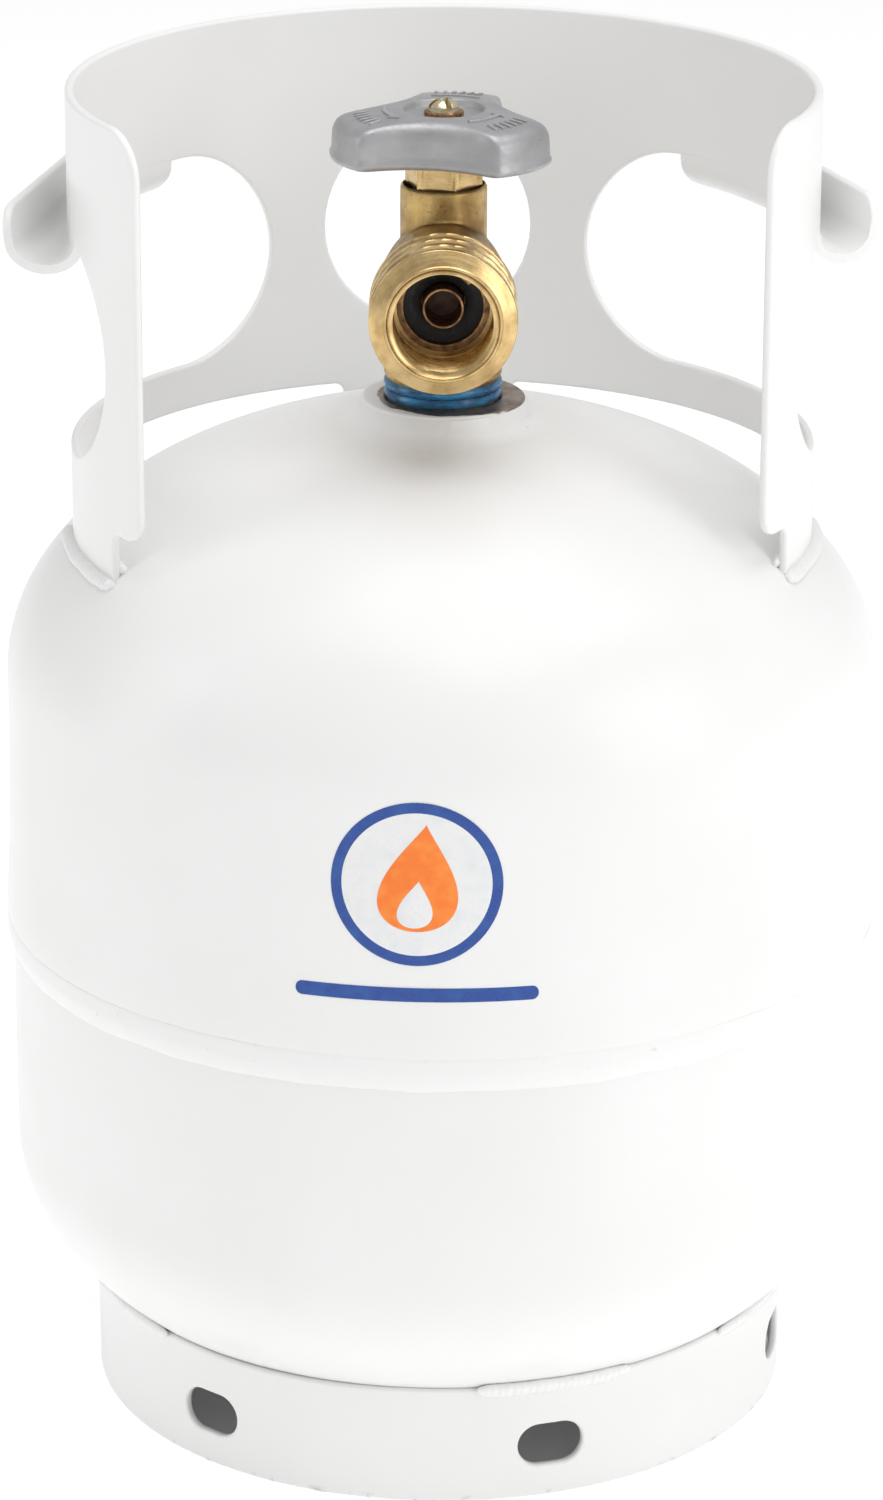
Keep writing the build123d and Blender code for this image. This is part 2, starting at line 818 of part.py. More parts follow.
relief_disc_y = (relief_seat_y + 0.05, 15.5)
poppet_back_y = 17.8
adjuster_y = (24.0, 26.6)
with BuildPart() as relief_disc:
    with BuildSketch(relief_plane):
        with Locations(((relief_disc_y[0] + relief_disc_y[1]) / 2, 2.25)):
            Rectangle(relief_disc_y[1] - relief_disc_y[0], 4.5)
    revolve(axis=relief_axis)
save(relief_disc, "relief_disc")

with BuildPart() as relief_poppet:
    with BuildSketch(relief_plane):
        Polygon(
            (relief_disc_y[1], 0),
            (relief_disc_y[1], 5.6),
            (poppet_back_y, 5.6),
            (poppet_back_y, 1.5),
            (24.4, 1.5),
            (24.4, 0),
            align=None,
        )
    revolve(axis=relief_axis)
save(relief_poppet, "relief_poppet")

with BuildPart() as relief_adjuster:
    with BuildSketch(relief_plane):
        with Locations(((adjuster_y[0] + adjuster_y[1]) / 2, 4.1)):
            Rectangle(adjuster_y[1] - adjuster_y[0], 4.7)
    revolve(axis=relief_axis)
    with BuildSketch(Plane(origin=(0, 0, relief_z), x_dir=(-1, 0, 0), z_dir=(0, 1, 0))):
        with PolarLocations(4.2, 2):
            Circle(0.9)
    extrude(amount=30, mode=Mode.SUBTRACT)
save(relief_adjuster, "relief_adjuster")

relief_spring = compression_spring(
    4.2, 0.55, adjuster_y[0] - poppet_back_y, 3, (0, poppet_back_y, relief_z), (0, 1, 0)
)
save(relief_spring, "relief_spring")

# Vent screw and dip tube -----------------------------------------------------------------------

with BuildPart() as vent_screw:
    with BuildSketch(vent_plane):
        Polygon(
            (vent_riser_r + 0.2, 0),
            (vent_riser_r + 1.4, vent_bore_r - running_gap),
            (vent_boss_end + 0.3, vent_bore_r - running_gap),
            (vent_boss_end + 0.3, 3.8),
            (vent_boss_end + 3.4, 3.8),
            (vent_boss_end + 3.8, 3.4),
            (vent_boss_end + 3.8, 0),
            align=None,
        )
    revolve(axis=vent_axis)
    with BuildSketch(outward_plane(vent_azimuth, vent_boss_end + 2.6, vent_z)):
        Rectangle(9, 1.0)
    extrude(amount=3, mode=Mode.SUBTRACT)
save(vent_screw, "vent_screw")

with BuildPart() as dip_tube:
    with BuildSketch(Plane.XY.offset(188)):
        with Locations(riser_spot):
            Circle(1.5)
            Circle(0.9, mode=Mode.SUBTRACT)
    extrude(amount=valve_tail_z + 6 - 188)
save(dip_tube, "dip_tube")

# Overfill stop ---------------------------------------------------------------------------------

pin_r = 1.0
with BuildPart() as opd_housing:
    with BuildSketch(Plane.XZ):
        Polygon(
            (opd_bore_r, opd_low_z),
            (opd_r, opd_low_z),
            (opd_r, valve_tail_z),
            (inlet_bore_r - running_gap, valve_tail_z),
            (inlet_bore_r - running_gap, valve_tail_z + 5),
            (4.0, valve_tail_z + 5),
            (4.0, opd_seat_z),
            (opd_bore_r, opd_seat_z),
            align=None,
        )
    revolve(axis=Axis.Z)
    with BuildSketch(Plane.XY.offset(opd_low_z - 1)):
        with Locations((6.5, 0)):
            Rectangle(5, 2 * arm_half_width + 1.0)
    extrude(amount=12, mode=Mode.SUBTRACT)
    with BuildSketch(Plane.XZ.offset(-10)):
        with Locations((pivot_x, pivot_z)):
            Circle(pin_r)
    extrude(amount=20, mode=Mode.SUBTRACT)
save(opd_housing, "opd_housing")

with BuildPart() as float_pin:
    with BuildSketch(Plane.XZ.offset(-6.2)):
        with Locations((pivot_x, pivot_z)):
            Circle(pin_r)
    extrude(amount=12.4)
save(float_pin, "float_pin")

piston_low_z = 210.2
piston_foot_z = 203.1
with BuildPart() as opd_piston:
    with BuildSketch(Plane.XY.offset(piston_low_z)):
        Circle(opd_bore_r - running_gap)
        with PolarLocations(opd_bore_r, 4, start_angle=45):
            Circle(1.2, mode=Mode.SUBTRACT)
    extrude(amount=2.6)
    with BuildSketch(Plane.XY.offset(piston_foot_z)):
        Circle(1.0)
    extrude(amount=piston_low_z - piston_foot_z)
save(opd_piston, "opd_piston")

# The arm's own plane: local x runs along the arm, which hangs from its pivot.
droop = radians(arm_droop)
arm_plane = Plane(
    origin=(pivot_x, 0, pivot_z), x_dir=(cos(droop), 0, -sin(droop)), z_dir=(0, -1, 0)
)
rod_plane = Plane(origin=(pivot_x, 0, pivot_z), x_dir=(0, 1, 0), z_dir=(cos(droop), 0, -sin(droop)))
bar_end = 32.0
rod_r = 1.1
float_length = 26.0
with BuildPart() as float_arm:
    with BuildSketch(arm_plane):
        Circle(2.1)
        with Locations((bar_end / 2, 0)):
            Rectangle(bar_end, 2 * arm_half_depth)
        Circle(pin_r + running_gap, mode=Mode.SUBTRACT)
    extrude(amount=arm_half_width, both=True)
    with BuildSketch(rod_plane.offset(bar_end)):
        Circle(rod_r)
    extrude(amount=float_length - 4)
save(float_arm, "float_arm")

with BuildPart() as float_ball:
    with BuildSketch(rod_plane.offset(bar_end)):
        Circle(float_r)
    extrude(amount=float_length)
    fillet(float_ball.edges().filter_by(GeomType.CIRCLE), radius=2.5)
    with BuildSketch(rod_plane.offset(bar_end)):
        Circle(rod_r)
    extrude(amount=float_length - 4, mode=Mode.SUBTRACT)
save(float_ball, "float_ball")
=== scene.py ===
"""Looks of the small white gas cylinder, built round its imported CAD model.

Metres, +Z up, valve outlet towards -Y. An azimuth is an angle about +Z, counted from -Y towards +X.
"""

import math

import bmesh
import bpy
from mathutils import Matrix, Vector, noise


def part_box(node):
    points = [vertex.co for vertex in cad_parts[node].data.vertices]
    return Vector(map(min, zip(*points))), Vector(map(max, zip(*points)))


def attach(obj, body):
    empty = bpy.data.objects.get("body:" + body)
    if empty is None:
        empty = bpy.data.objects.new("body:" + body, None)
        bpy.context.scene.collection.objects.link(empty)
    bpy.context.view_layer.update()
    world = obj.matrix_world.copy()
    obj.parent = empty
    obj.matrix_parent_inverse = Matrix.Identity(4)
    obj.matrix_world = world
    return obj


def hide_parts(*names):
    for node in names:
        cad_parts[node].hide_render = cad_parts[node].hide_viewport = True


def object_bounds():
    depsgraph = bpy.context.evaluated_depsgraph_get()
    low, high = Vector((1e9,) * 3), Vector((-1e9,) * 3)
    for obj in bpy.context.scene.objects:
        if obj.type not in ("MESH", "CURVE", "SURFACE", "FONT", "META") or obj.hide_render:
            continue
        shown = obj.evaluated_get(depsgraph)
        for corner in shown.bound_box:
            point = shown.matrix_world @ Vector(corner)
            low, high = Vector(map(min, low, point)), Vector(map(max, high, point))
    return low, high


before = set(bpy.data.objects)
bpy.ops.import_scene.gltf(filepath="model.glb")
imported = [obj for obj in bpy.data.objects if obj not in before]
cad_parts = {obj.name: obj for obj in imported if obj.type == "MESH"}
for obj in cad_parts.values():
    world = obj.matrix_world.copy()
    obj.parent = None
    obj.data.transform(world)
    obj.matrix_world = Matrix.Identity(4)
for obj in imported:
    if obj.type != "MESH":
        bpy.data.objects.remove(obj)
cad_low, cad_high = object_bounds()

MM = 0.001
TAU = 2 * math.pi
STATIC = "cylinder"
STEM = "handwheel_and_stem"

# Vessel, in millimetres as all the sizes below are.
shell_r = 101.6
lower_shell_r = 101.4
skirt_r = 102.75
wall = 2.0
head_base_z = 177.0
head_rise = 60.7
bottom_base_z = 63.5
bottom_drop = 58.9
lap_low_z = 118.4
lap_high_z = 127.0
bead_low_z = 110.7
boss_r = 19.0
boss_bore_r = 13.0
boss_top_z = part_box("valve_boss")[1].z / MM

# Guard collar and its grips.
collar_mid_r = 84.65
collar_sheet = 2.0
collar_turn = 2.75
collar_gap_half = 54.75
collar_low_z = 221.5
collar_high_z = cad_high.z / MM
collar_feet = ((62.5, 92.0), (166.0, 194.0), (268.0, 297.5))
slot_ends = ((82.0, 135.5), (224.5, 278.0))
slot_r = 25.5
slot_z = 258.0
window_r = 25.0
window_z = 261.5
# Each grip as its azimuth and how much further out it reaches.
grips = (("right", 107.5, 0.0), ("left", -105.0, 1.8))
grip_half = 38.5

# Foot ring.
foot_mid_r = 81.65
foot_sheet = 2.0
foot_top_z = 28.6
drain_first = 18.3
drain_pitch = 58.6
drain_z = 13.0
foot_weld_runs = ((6, 32), (52, 96), (150, 210), (264, 310))

# Valve and handwheel.
outlet_z = 270.0
relief_z = 254.8
vent_z = 268.0
vent_azimuth = math.radians(215)
vent_out = (math.sin(vent_azimuth), -math.cos(vent_azimuth), 0)
outlet_r = 16.67
outlet_face = 42.4
neck_r = 9.9
neck_top_z = 292.0
wheel_low_z = 298.4


def head_z(r):
    """Height of the upper head's outside at a radius."""
    return head_base_z + head_rise * math.sqrt(max(0.0, 1 - (r / shell_r) ** 2))


def side_r(z):
    """Radius of the upper shell's outside at a height below the head."""
    stations = ((lap_low_z, skirt_r), (123.5, skirt_r), (138.0, 101.95), (160.0, shell_r), (400.0, shell_r))
    for (z0, r0), (z1, r1) in zip(stations, stations[1:]):
        if z <= z1:
            return r0 + (r1 - r0) * max(0.0, z - z0) / (z1 - z0)
    return shell_r


# Materials ---------------------------------------------------------------------------------------


class Shader:
    """A Principled material with its texture nodes, in object coordinates."""

    def __init__(self, name, colour, roughness, metallic=0.0, **sockets):
        self.material = bpy.data.materials.new(name)
        self.material.use_nodes = True
        self.material.diffuse_color = (*colour, 1)
        self.tree = self.material.node_tree
        self.surface = self.tree.nodes["Principled BSDF"]
        self.set("Base Color", (*colour, 1))
        self.set("Roughness", roughness)
        self.set("Metallic", metallic)
        for socket, value in sockets.items():
            self.set(socket.replace("_", " ").title().replace("Ior", "IOR"), value)
        self.place = self.node("ShaderNodeTexCoord").outputs["Object"]
        self.height = None

    def set(self, socket, value):
        self.surface.inputs[socket].default_value = value

    def node(self, kind, **settings):
        made = self.tree.nodes.new(kind)
        for key, value in settings.items():
            setattr(made, key, value)
        return made

    def link(self, source, target):
        self.tree.links.new(source, target)

    def noise(self, per_mm, detail=3.0, rough=0.5, stretch=(1, 1, 1), distortion=0.0):
        """Noise whose features are about 1 / per_mm millimetres across."""
        mapping = self.node("ShaderNodeMapping")
        mapping.inputs["Scale"].default_value = stretch
        self.link(self.place, mapping.inputs["Vector"])
        made = self.node("ShaderNodeTexNoise")
        made.inputs["Scale"].default_value = per_mm / MM
        made.inputs["Detail"].default_value = detail
        made.inputs["Roughness"].default_value = rough
        made.inputs["Distortion"].default_value = distortion
        self.link(mapping.outputs["Vector"], made.inputs["Vector"])
        return made.outputs["Fac"]

    def ramp(self, value, low, high, low_out=0.0, high_out=1.0):
        """Map a value from one range to another, clamped."""
        made = self.node("ShaderNodeMapRange")
        numbers = {"From Min": low, "From Max": high, "To Min": low_out, "To Max": high_out}
        for socket, number in numbers.items():
            made.inputs[socket].default_value = number
        self.link(value, made.inputs["Value"])
        return made.outputs["Result"]

    def along(self, axis):
        """One coordinate of the surface point, in metres."""
        split = self.node("ShaderNodeSeparateXYZ")
        self.link(self.place, split.inputs["Vector"])
        return split.outputs[axis]

    def combine(self, operation, a, b):
        made = self.node("ShaderNodeMath", operation=operation)
        for socket, value in zip(made.inputs, (a, b)):
            if isinstance(value, (int, float)):
                socket.default_value = value
            else:
                self.link(value, socket)
        return made.outputs["Value"]

    def blend(self, mask, base, over):
        """Mix two colours, or a colour socket and a colour, by a mask."""
        made = self.node("ShaderNodeMix", data_type="RGBA")
        self.link(mask, made.inputs["Factor"])
        for socket, value in ((made.inputs[6], base), (made.inputs[7], over)):
            if isinstance(value, tuple):
                socket.default_value = (*value, 1)
            else:
                self.link(value, socket)
        return made.outputs[2]

    def bump(self, value, depth):
        """Add a bump of some millimetres to those already there."""
        made = self.node("ShaderNodeBump")
        made.inputs["Strength"].default_value = 1.0
        made.inputs["Distance"].default_value = depth * MM
        self.link(value, made.inputs["Height"])
        if self.height is not None:
            self.link(self.height, made.inputs["Normal"])
        self.height = made.outputs["Normal"]
        self.link(self.height, self.surface.inputs["Normal"])

    def drive(self, socket, source):
        self.link(source, self.surface.inputs[socket])


def paint():
    """Glossy white powder coat: faint orange peel and cloudiness, with a little wear at the ground."""
    s = Shader("white_powder_coat", (0.79, 0.79, 0.785), 0.34, specular_ior_level=0.45)
    cloud = s.noise(0.016, detail=2.0, rough=0.5)
    colour = s.blend(s.ramp(cloud, 0.35, 0.7), (0.84, 0.84, 0.835), (0.81, 0.81, 0.802))
    near_ground = s.ramp(s.along("Z"), 0.0002, 0.0016, 0.7, 0.0)
    chips = s.combine("MULTIPLY", near_ground, s.ramp(s.noise(0.30, detail=4.0), 0.55, 0.66))
    s.drive("Base Color", s.blend(chips, colour, (0.42, 0.40, 0.38)))
    s.drive("Roughness", s.ramp(s.noise(0.06, detail=2.0), 0.3, 0.75, 0.28, 0.38))
    s.bump(s.noise(0.40, detail=1.0), 0.007)
    s.bump(s.noise(0.030, detail=1.0), 0.07)
    return s.material


def rough_paint():
    """The same coat where it has pooled over a weld bead."""
    s = Shader("white_coat_on_weld", (0.79, 0.79, 0.785), 0.36, specular_ior_level=0.45)
    pits = s.noise(0.5, detail=3.0)
    s.drive("Base Color", s.blend(s.ramp(pits, 0.68, 0.80), (0.83, 0.83, 0.825), (0.72, 0.71, 0.69)))
    s.drive("Roughness", s.ramp(s.noise(0.2), 0.3, 0.7, 0.30, 0.42))
    s.bump(pits, 0.05)
    s.bump(s.noise(0.20, detail=2.0), 0.16)
    return s.material


def boss_metal():
    """Machined steel face with turning marks, with paint lapped over its outer edge and left side."""
    s = Shader("boss_steel", (0.42, 0.38, 0.34), 0.38, metallic=1.0)
    radius = s.node("ShaderNodeVectorMath", operation="LENGTH")
    flat = s.node("ShaderNodeVectorMath", operation="MULTIPLY")
    flat.inputs[1].default_value = (1, 1, 0)
    s.link(s.place, flat.inputs[0])
    s.link(flat.outputs["Vector"], radius.inputs[0])
    rings = s.node("ShaderNodeMath", operation="SINE")
    s.link(s.combine("MULTIPLY", radius.outputs["Value"], TAU / (0.35 * MM)), rings.inputs[0])
    wander = s.combine("MULTIPLY", s.combine("SUBTRACT", s.noise(0.10, detail=2.0), 0.5), 6 * MM)
    leftwards = s.combine("MULTIPLY", s.along("X"), -0.13)
    edge = s.combine("ADD", s.combine("ADD", radius.outputs["Value"], wander), leftwards)
    painted = s.ramp(edge, 17.6 * MM, 18.0 * MM)
    stain = s.blend(s.ramp(s.noise(0.25, detail=5.0), 0.4, 0.65), (0.40, 0.33, 0.28), (0.22, 0.16, 0.12))
    s.drive("Base Color", s.blend(painted, stain, (0.83, 0.83, 0.825)))
    s.drive("Metallic", s.ramp(painted, 0, 1, 1.0, 0.0))
    s.drive("Roughness", s.ramp(s.noise(0.3), 0.3, 0.7, 0.30, 0.48))
    s.bump(rings.outputs["Value"], 0.008)
    s.bump(painted, 0.08)
    return s.material


def cast_brass():
    """Forged brass with a sandy skin and patchy dark stains."""
    s = Shader("cast_brass", (0.52, 0.37, 0.19), 0.42, metallic=1.0)
    stain = s.noise(0.09, detail=4.0, rough=0.55)
    colour = s.blend(s.ramp(stain, 0.36, 0.66), (0.60, 0.42, 0.17), (0.27, 0.165, 0.065))
    grit = s.noise(1.3, detail=2.0)
    s.drive("Base Color", s.blend(s.ramp(grit, 0.60, 0.80), colour, (0.16, 0.10, 0.05)))
    s.drive("Roughness", s.ramp(s.noise(0.4, detail=2.0), 0.3, 0.7, 0.34, 0.50))
    s.bump(grit, 0.05)
    s.bump(s.noise(0.30, detail=2.0), 0.14)
    return s.material


def turned_brass(name, axis):
    """Machined brass with fine turning marks across an axis."""
    s = Shader(name, (0.74, 0.54, 0.25), 0.26, metallic=1.0)
    stretch = tuple(1.0 if letter == axis else 0.03 for letter in "XYZ")
    marks = s.noise(5.0, detail=2.0, stretch=stretch)
    stain = s.noise(0.16, detail=5.0)
    s.drive("Base Color", s.blend(s.ramp(stain, 0.40, 0.70), (0.74, 0.54, 0.26), (0.42, 0.27, 0.11)))
    s.drive("Roughness", s.ramp(marks, 0.3, 0.7, 0.20, 0.36))
    s.bump(marks, 0.012)
    s.bump(s.noise(0.6, detail=4.0), 0.02)
    return s.material


def mottled(name, start, roughness, metallic, stain, colours, gloss=None, grain=None, depth=0.012):
    """A surface stained between two colours, and between two roughnesses, by one noise.

    stain is (features per mm, detail, low, high), grain is (features per mm, detail) of the bump.
    """
    s = Shader(name, start, roughness, metallic=metallic)
    per_mm, detail, low, high = stain
    spots = s.noise(per_mm, detail=detail)
    s.drive("Base Color", s.blend(s.ramp(spots, low, high), *colours))
    if gloss:
        s.drive("Roughness", s.ramp(spots, 0.3, 0.7, *gloss))
    s.bump(s.noise(grain[0], detail=grain[1]) if grain else spots, depth)
    return s.material


def wheel_coat():
    """Grey coat on a die casting: fine grain, dark pits and patchy tone."""
    s = Shader("grey_die_casting", (0.41, 0.41, 0.42), 0.40, metallic=0.6)
    cloud = s.noise(0.12, detail=4.0)
    colour = s.blend(s.ramp(cloud, 0.35, 0.7), (0.44, 0.44, 0.45), (0.37, 0.37, 0.38))
    pits = s.noise(1.1, detail=4.0)
    colour = s.blend(s.ramp(pits, 0.70, 0.80), colour, (0.14, 0.135, 0.135))
    s.drive("Base Color", colour)
    s.drive("Roughness", s.ramp(s.noise(0.8, detail=3.0), 0.3, 0.7, 0.36, 0.54))
    s.bump(s.noise(1.8, detail=3.0), 0.035)
    s.bump(s.noise(0.22, detail=2.0), 0.12)
    return s.material


def sealant():
    """Hardened blue thread sealant: glossy, uneven, with darker smears."""
    s = Shader("blue_sealant", (0.03, 0.17, 0.36), 0.22)
    smear = s.noise(0.16, detail=3.0, stretch=(1, 1, 3.5))
    colour = s.blend(s.ramp(smear, 0.38, 0.64), (0.035, 0.22, 0.44), (0.008, 0.055, 0.14))
    s.drive("Base Color", colour)
    s.drive("Roughness", s.ramp(s.noise(0.3), 0.3, 0.7, 0.16, 0.36))
    s.bump(s.noise(0.35, detail=2.0, stretch=(1, 1, 2)), 0.10)
    return s.material


def moulded_plastic(name, colour, deep):
    """Moulded plastic with a faint grain and slightly uneven colour."""
    return mottled(name, colour, 0.42, 0.0, (0.2, 3.0, 0.3, 0.7), (colour, deep), (0.36, 0.52), (3.0, 2.0))


def badge_ink(name, colour, faded):
    """Printed vinyl with slightly uneven ink."""
    stain, gloss = (0.30, 5.0, 0.45, 0.8), (0.24, 0.36)
    return mottled(name, colour, 0.30, 0.0, stain, (colour, faded), gloss, (1.2, 2.0), 0.006)


WHITE = paint()
WELD_WHITE = rough_paint()
BOSS_STEEL = boss_metal()
CAST_BRASS = cast_brass()
OUTLET_BRASS = turned_brass("turned_brass_outlet", "Y")
STEM_BRASS = turned_brass("turned_brass_stem", "Z")
# Bright pale brass of the handwheel screw, and brass coloured almost black, as painted shade, for the disc at
# the bottom of the check tube.
PALE_BRASS = mottled(
    "pale_brass", (0.80, 0.72, 0.50), 0.24, 1.0, (0.5, 4.0, 0.4, 0.7),
    ((0.84, 0.77, 0.56), (0.60, 0.48, 0.27)), (0.18, 0.34), (2.0, 2.0),
)
PAINTED_SHADE_BRASS = mottled(
    "painted_shade_brass", (0.10, 0.055, 0.035), 0.60, 0.5, (0.6, 3.0, 0.4, 0.7),
    ((0.11, 0.06, 0.04), (0.05, 0.03, 0.02)), depth=0.03,
)
# Oxidised copper alloy of the retaining ring and the lock washer.
BRONZE = mottled(
    "dull_bronze", (0.36, 0.20, 0.10), 0.45, 1.0, (0.5, 5.0, 0.35, 0.7),
    ((0.45, 0.26, 0.13), (0.20, 0.11, 0.06)), (0.34, 0.58), (2.5, 3.0), 0.02,
)
GREY = wheel_coat()
RUBBER = mottled(
    "black_rubber", (0.018, 0.018, 0.020), 0.55, 0.0, (0.8, 4.0, 0.5, 0.8),
    ((0.014, 0.014, 0.016), (0.05, 0.048, 0.046)), (0.42, 0.66), (2.5, 2.0), 0.015,
)
SEALANT = sealant()
STEEL = mottled(
    "drawn_steel", (0.56, 0.56, 0.57), 0.28, 1.0, (1.5, 4.0, 0.4, 0.7),
    ((0.60, 0.60, 0.61), (0.40, 0.39, 0.38)), (0.22, 0.42), depth=0.01,
)
ACETAL = moulded_plastic("white_acetal", (0.80, 0.80, 0.76), (0.70, 0.69, 0.64))
FOAM = moulded_plastic("dark_float_foam", (0.035, 0.035, 0.038), (0.06, 0.058, 0.055))
INK_BLUE = badge_ink("badge_blue", (0.010, 0.060, 0.30), (0.020, 0.10, 0.36))
INK_ORANGE = badge_ink("badge_orange", (0.90, 0.19, 0.010), (0.95, 0.30, 0.04))
INK_WHITE = badge_ink("badge_white", (0.80, 0.80, 0.80), (0.72, 0.74, 0.76))


# Mesh building -----------------------------------------------------------------------------------


def wander(point, per_mm, seed=0.0):
    """Smooth noise between about -1 and 1 at a point in millimetres."""
    return noise.noise(Vector(point) * per_mm + Vector((seed, 1.7 * seed, 2.3 * seed)))


def rounded(corners, closed=True, steps=5):
    """Polyline through (x, y) or (x, y, radius) corners, with the corners that have a radius rounded."""
    points = []
    count = len(corners)
    for i, corner in enumerate(corners):
        here = Vector(corner[:2])
        radius = corner[2] if len(corner) > 2 else 0.0
        if radius <= 0 or (not closed and i in (0, count - 1)):
            points.append(tuple(here))
            continue
        before = (Vector(corners[i - 1][:2]) - here).normalized()
        after = (Vector(corners[(i + 1) % count][:2]) - here).normalized()
        half = before.angle(after) / 2
        reach = radius / math.tan(half)
        centre = here + (before + after).normalized() * (radius / math.sin(half))
        first, last = here + before * reach - centre, here + after * reach - centre
        turn = first.angle_signed(last)
        for k in range(steps + 1):
            a = -turn * k / steps
            x = first.x * math.cos(a) - first.y * math.sin(a)
            y = first.x * math.sin(a) + first.y * math.cos(a)
            points.append((centre.x + x, centre.y + y))
    return points


def dense(points, spacing, closed=True):
    """The same polyline with long runs divided."""
    made = []
    count = len(points)
    for i in range(count if closed else count - 1):
        a, b = Vector(points[i]), Vector(points[(i + 1) % count])
        parts = max(1, math.ceil((b - a).length / spacing))
        made.extend(tuple(a.lerp(b, k / parts)) for k in range(parts))
    if not closed:
        made.append(tuple(points[-1]))
    return made


def rings(sections, wrap=True, closed=True):
    """Quads between rings of equal length.

    wrap joins the last ring to the first, and closed joins each ring's ends.
    """
    count = len(sections[0])
    faces = []
    for i in range(len(sections) if wrap else len(sections) - 1):
        after = (i + 1) % len(sections)
        for j in range(count if closed else count - 1):
            k = (j + 1) % count
            faces.append((i * count + j, i * count + k, after * count + k, after * count + j))
    return [point for section in sections for point in section], faces


def lathe(profile, segments, warp=None, closed=True):
    """Turn a profile of (radius, height) about +Z. warp may change each (angle, radius, height)."""
    sections = []
    for i in range(segments):
        angle = TAU * i / segments
        section = []
        for r, h in profile:
            if warp:
                r, h = warp(angle, r, h)
            section.append((r * math.sin(angle), -r * math.cos(angle), h))
        sections.append(section)
    return rings(sections, wrap=True, closed=closed)


def merged(parts):
    """A bmesh of (vertices, faces) pairs, with doubles and slivers removed."""
    bm = bmesh.new()
    for vertices, faces in parts:
        made = [bm.verts.new(v) for v in vertices]
        for face in faces:
            bm.faces.new([made[i] for i in face])
    bmesh.ops.remove_doubles(bm, verts=bm.verts, dist=0.0005)
    bmesh.ops.dissolve_degenerate(bm, edges=bm.edges, dist=0.0003)
    return bm


def loose_object(name, parts):
    """A helper object that the caller removes again."""
    mesh = bpy.data.meshes.new(name)
    bm = merged(parts)
    bmesh.ops.recalc_face_normals(bm, faces=bm.faces)
    bm.to_mesh(mesh)
    bm.free()
    made = bpy.data.objects.new(name, mesh)
    bpy.context.scene.collection.objects.link(made)
    return made


def piece(name, parts, material, body=STATIC, replaces=(), place=None, sharp=35.0):
    """One object from (vertices, faces) pairs in millimetres, smooth but for edges over an angle."""
    mesh = bpy.data.meshes.new(name)
    bm = merged(parts)
    if place is not None:
        bmesh.ops.transform(bm, matrix=place, verts=bm.verts)
    bmesh.ops.scale(bm, vec=(MM, MM, MM), verts=bm.verts)
    bmesh.ops.recalc_face_normals(bm, faces=bm.faces)
    limit = math.radians(sharp)
    for face in bm.faces:
        face.smooth = True
    for edge in bm.edges:
        edge.smooth = len(edge.link_faces) == 2 and edge.calc_face_angle(0.0) < limit
    bm.to_mesh(mesh)
    bm.free()
    made = bpy.data.objects.new(name, mesh)
    bpy.context.scene.collection.objects.link(made)
    mesh.materials.append(material)
    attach(made, body)
    if replaces:
        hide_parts(*replaces)
    return made


def soften(obj, width, segments=3, angle=40.0):
    """Round the hard edges of a piece."""
    bevel = obj.modifiers.new("edges", "BEVEL")
    bevel.width = width * MM
    bevel.segments = segments
    bevel.limit_method = "ANGLE"
    bevel.angle_limit = math.radians(angle)
    bevel.use_clamp_overlap = True
    weighted = obj.modifiers.new("normals", "WEIGHTED_NORMAL")
    weighted.keep_sharp = False
    return obj


def on_axis(height, along):
    """Placement that turns a lathe's +Z to a horizontal direction at a height on the axis."""
    z = Vector(along)
    y = Vector((0, 0, 1))
    x = y.cross(z)
    rotation = Matrix((x, y, z)).transposed().to_4x4()
    return Matrix.Translation((0, 0, height)) @ rotation


def bent_sheet(outlines, thickness, edge, radius, cut=3.0):
    """Sheet with rounded edges, from closed (arc length, height) outlines, rolled about +Z.

    The first outline is the outer one and the rest are holes. radius is the sheet's middle.
    """
    curve = bpy.data.curves.new("flat", "CURVE")
    curve.dimensions = "2D"
    curve.fill_mode = "BOTH"
    curve.extrude = thickness / 2 - edge
    curve.bevel_depth = edge
    curve.bevel_resolution = 2
    curve.offset = -edge
    for outline in outlines:
        spline = curve.splines.new("POLY")
        spline.points.add(len(outline) - 1)
        for point, (u, z) in zip(spline.points, outline):
            point.co = (u, z, 0, 1)
        spline.use_cyclic_u = True
    holder = bpy.data.objects.new("flat", curve)
    bpy.context.scene.collection.objects.link(holder)
    flat = bpy.data.meshes.new_from_object(holder)
    bpy.data.objects.remove(holder)
    bpy.data.curves.remove(curve)
    bm = bmesh.new()
    bm.from_mesh(flat)
    bpy.data.meshes.remove(flat)
    bmesh.ops.remove_doubles(bm, verts=bm.verts, dist=0.001)
    low = min(v.co.x for v in bm.verts)
    high = max(v.co.x for v in bm.verts)
    strips = max(1, math.ceil((high - low) / cut))
    for k in range(1, strips):
        at = low + (high - low) * k / strips
        everything = bm.verts[:] + bm.edges[:] + bm.faces[:]
        bmesh.ops.bisect_plane(bm, geom=everything, dist=0.0001, plane_co=(at, 0, 0), plane_no=(1, 0, 0))
    bmesh.ops.triangulate(bm, faces=[f for f in bm.faces if len(f.verts) > 4])
    vertices = []
    for v in bm.verts:
        u, z, w = v.co
        angle = u / radius
        r = radius + w
        vertices.append((r * math.sin(angle), -r * math.cos(angle), z))
    bm.verts.index_update()
    faces = [tuple(v.index for v in f.verts) for f in bm.faces]
    bm.free()
    return vertices, faces


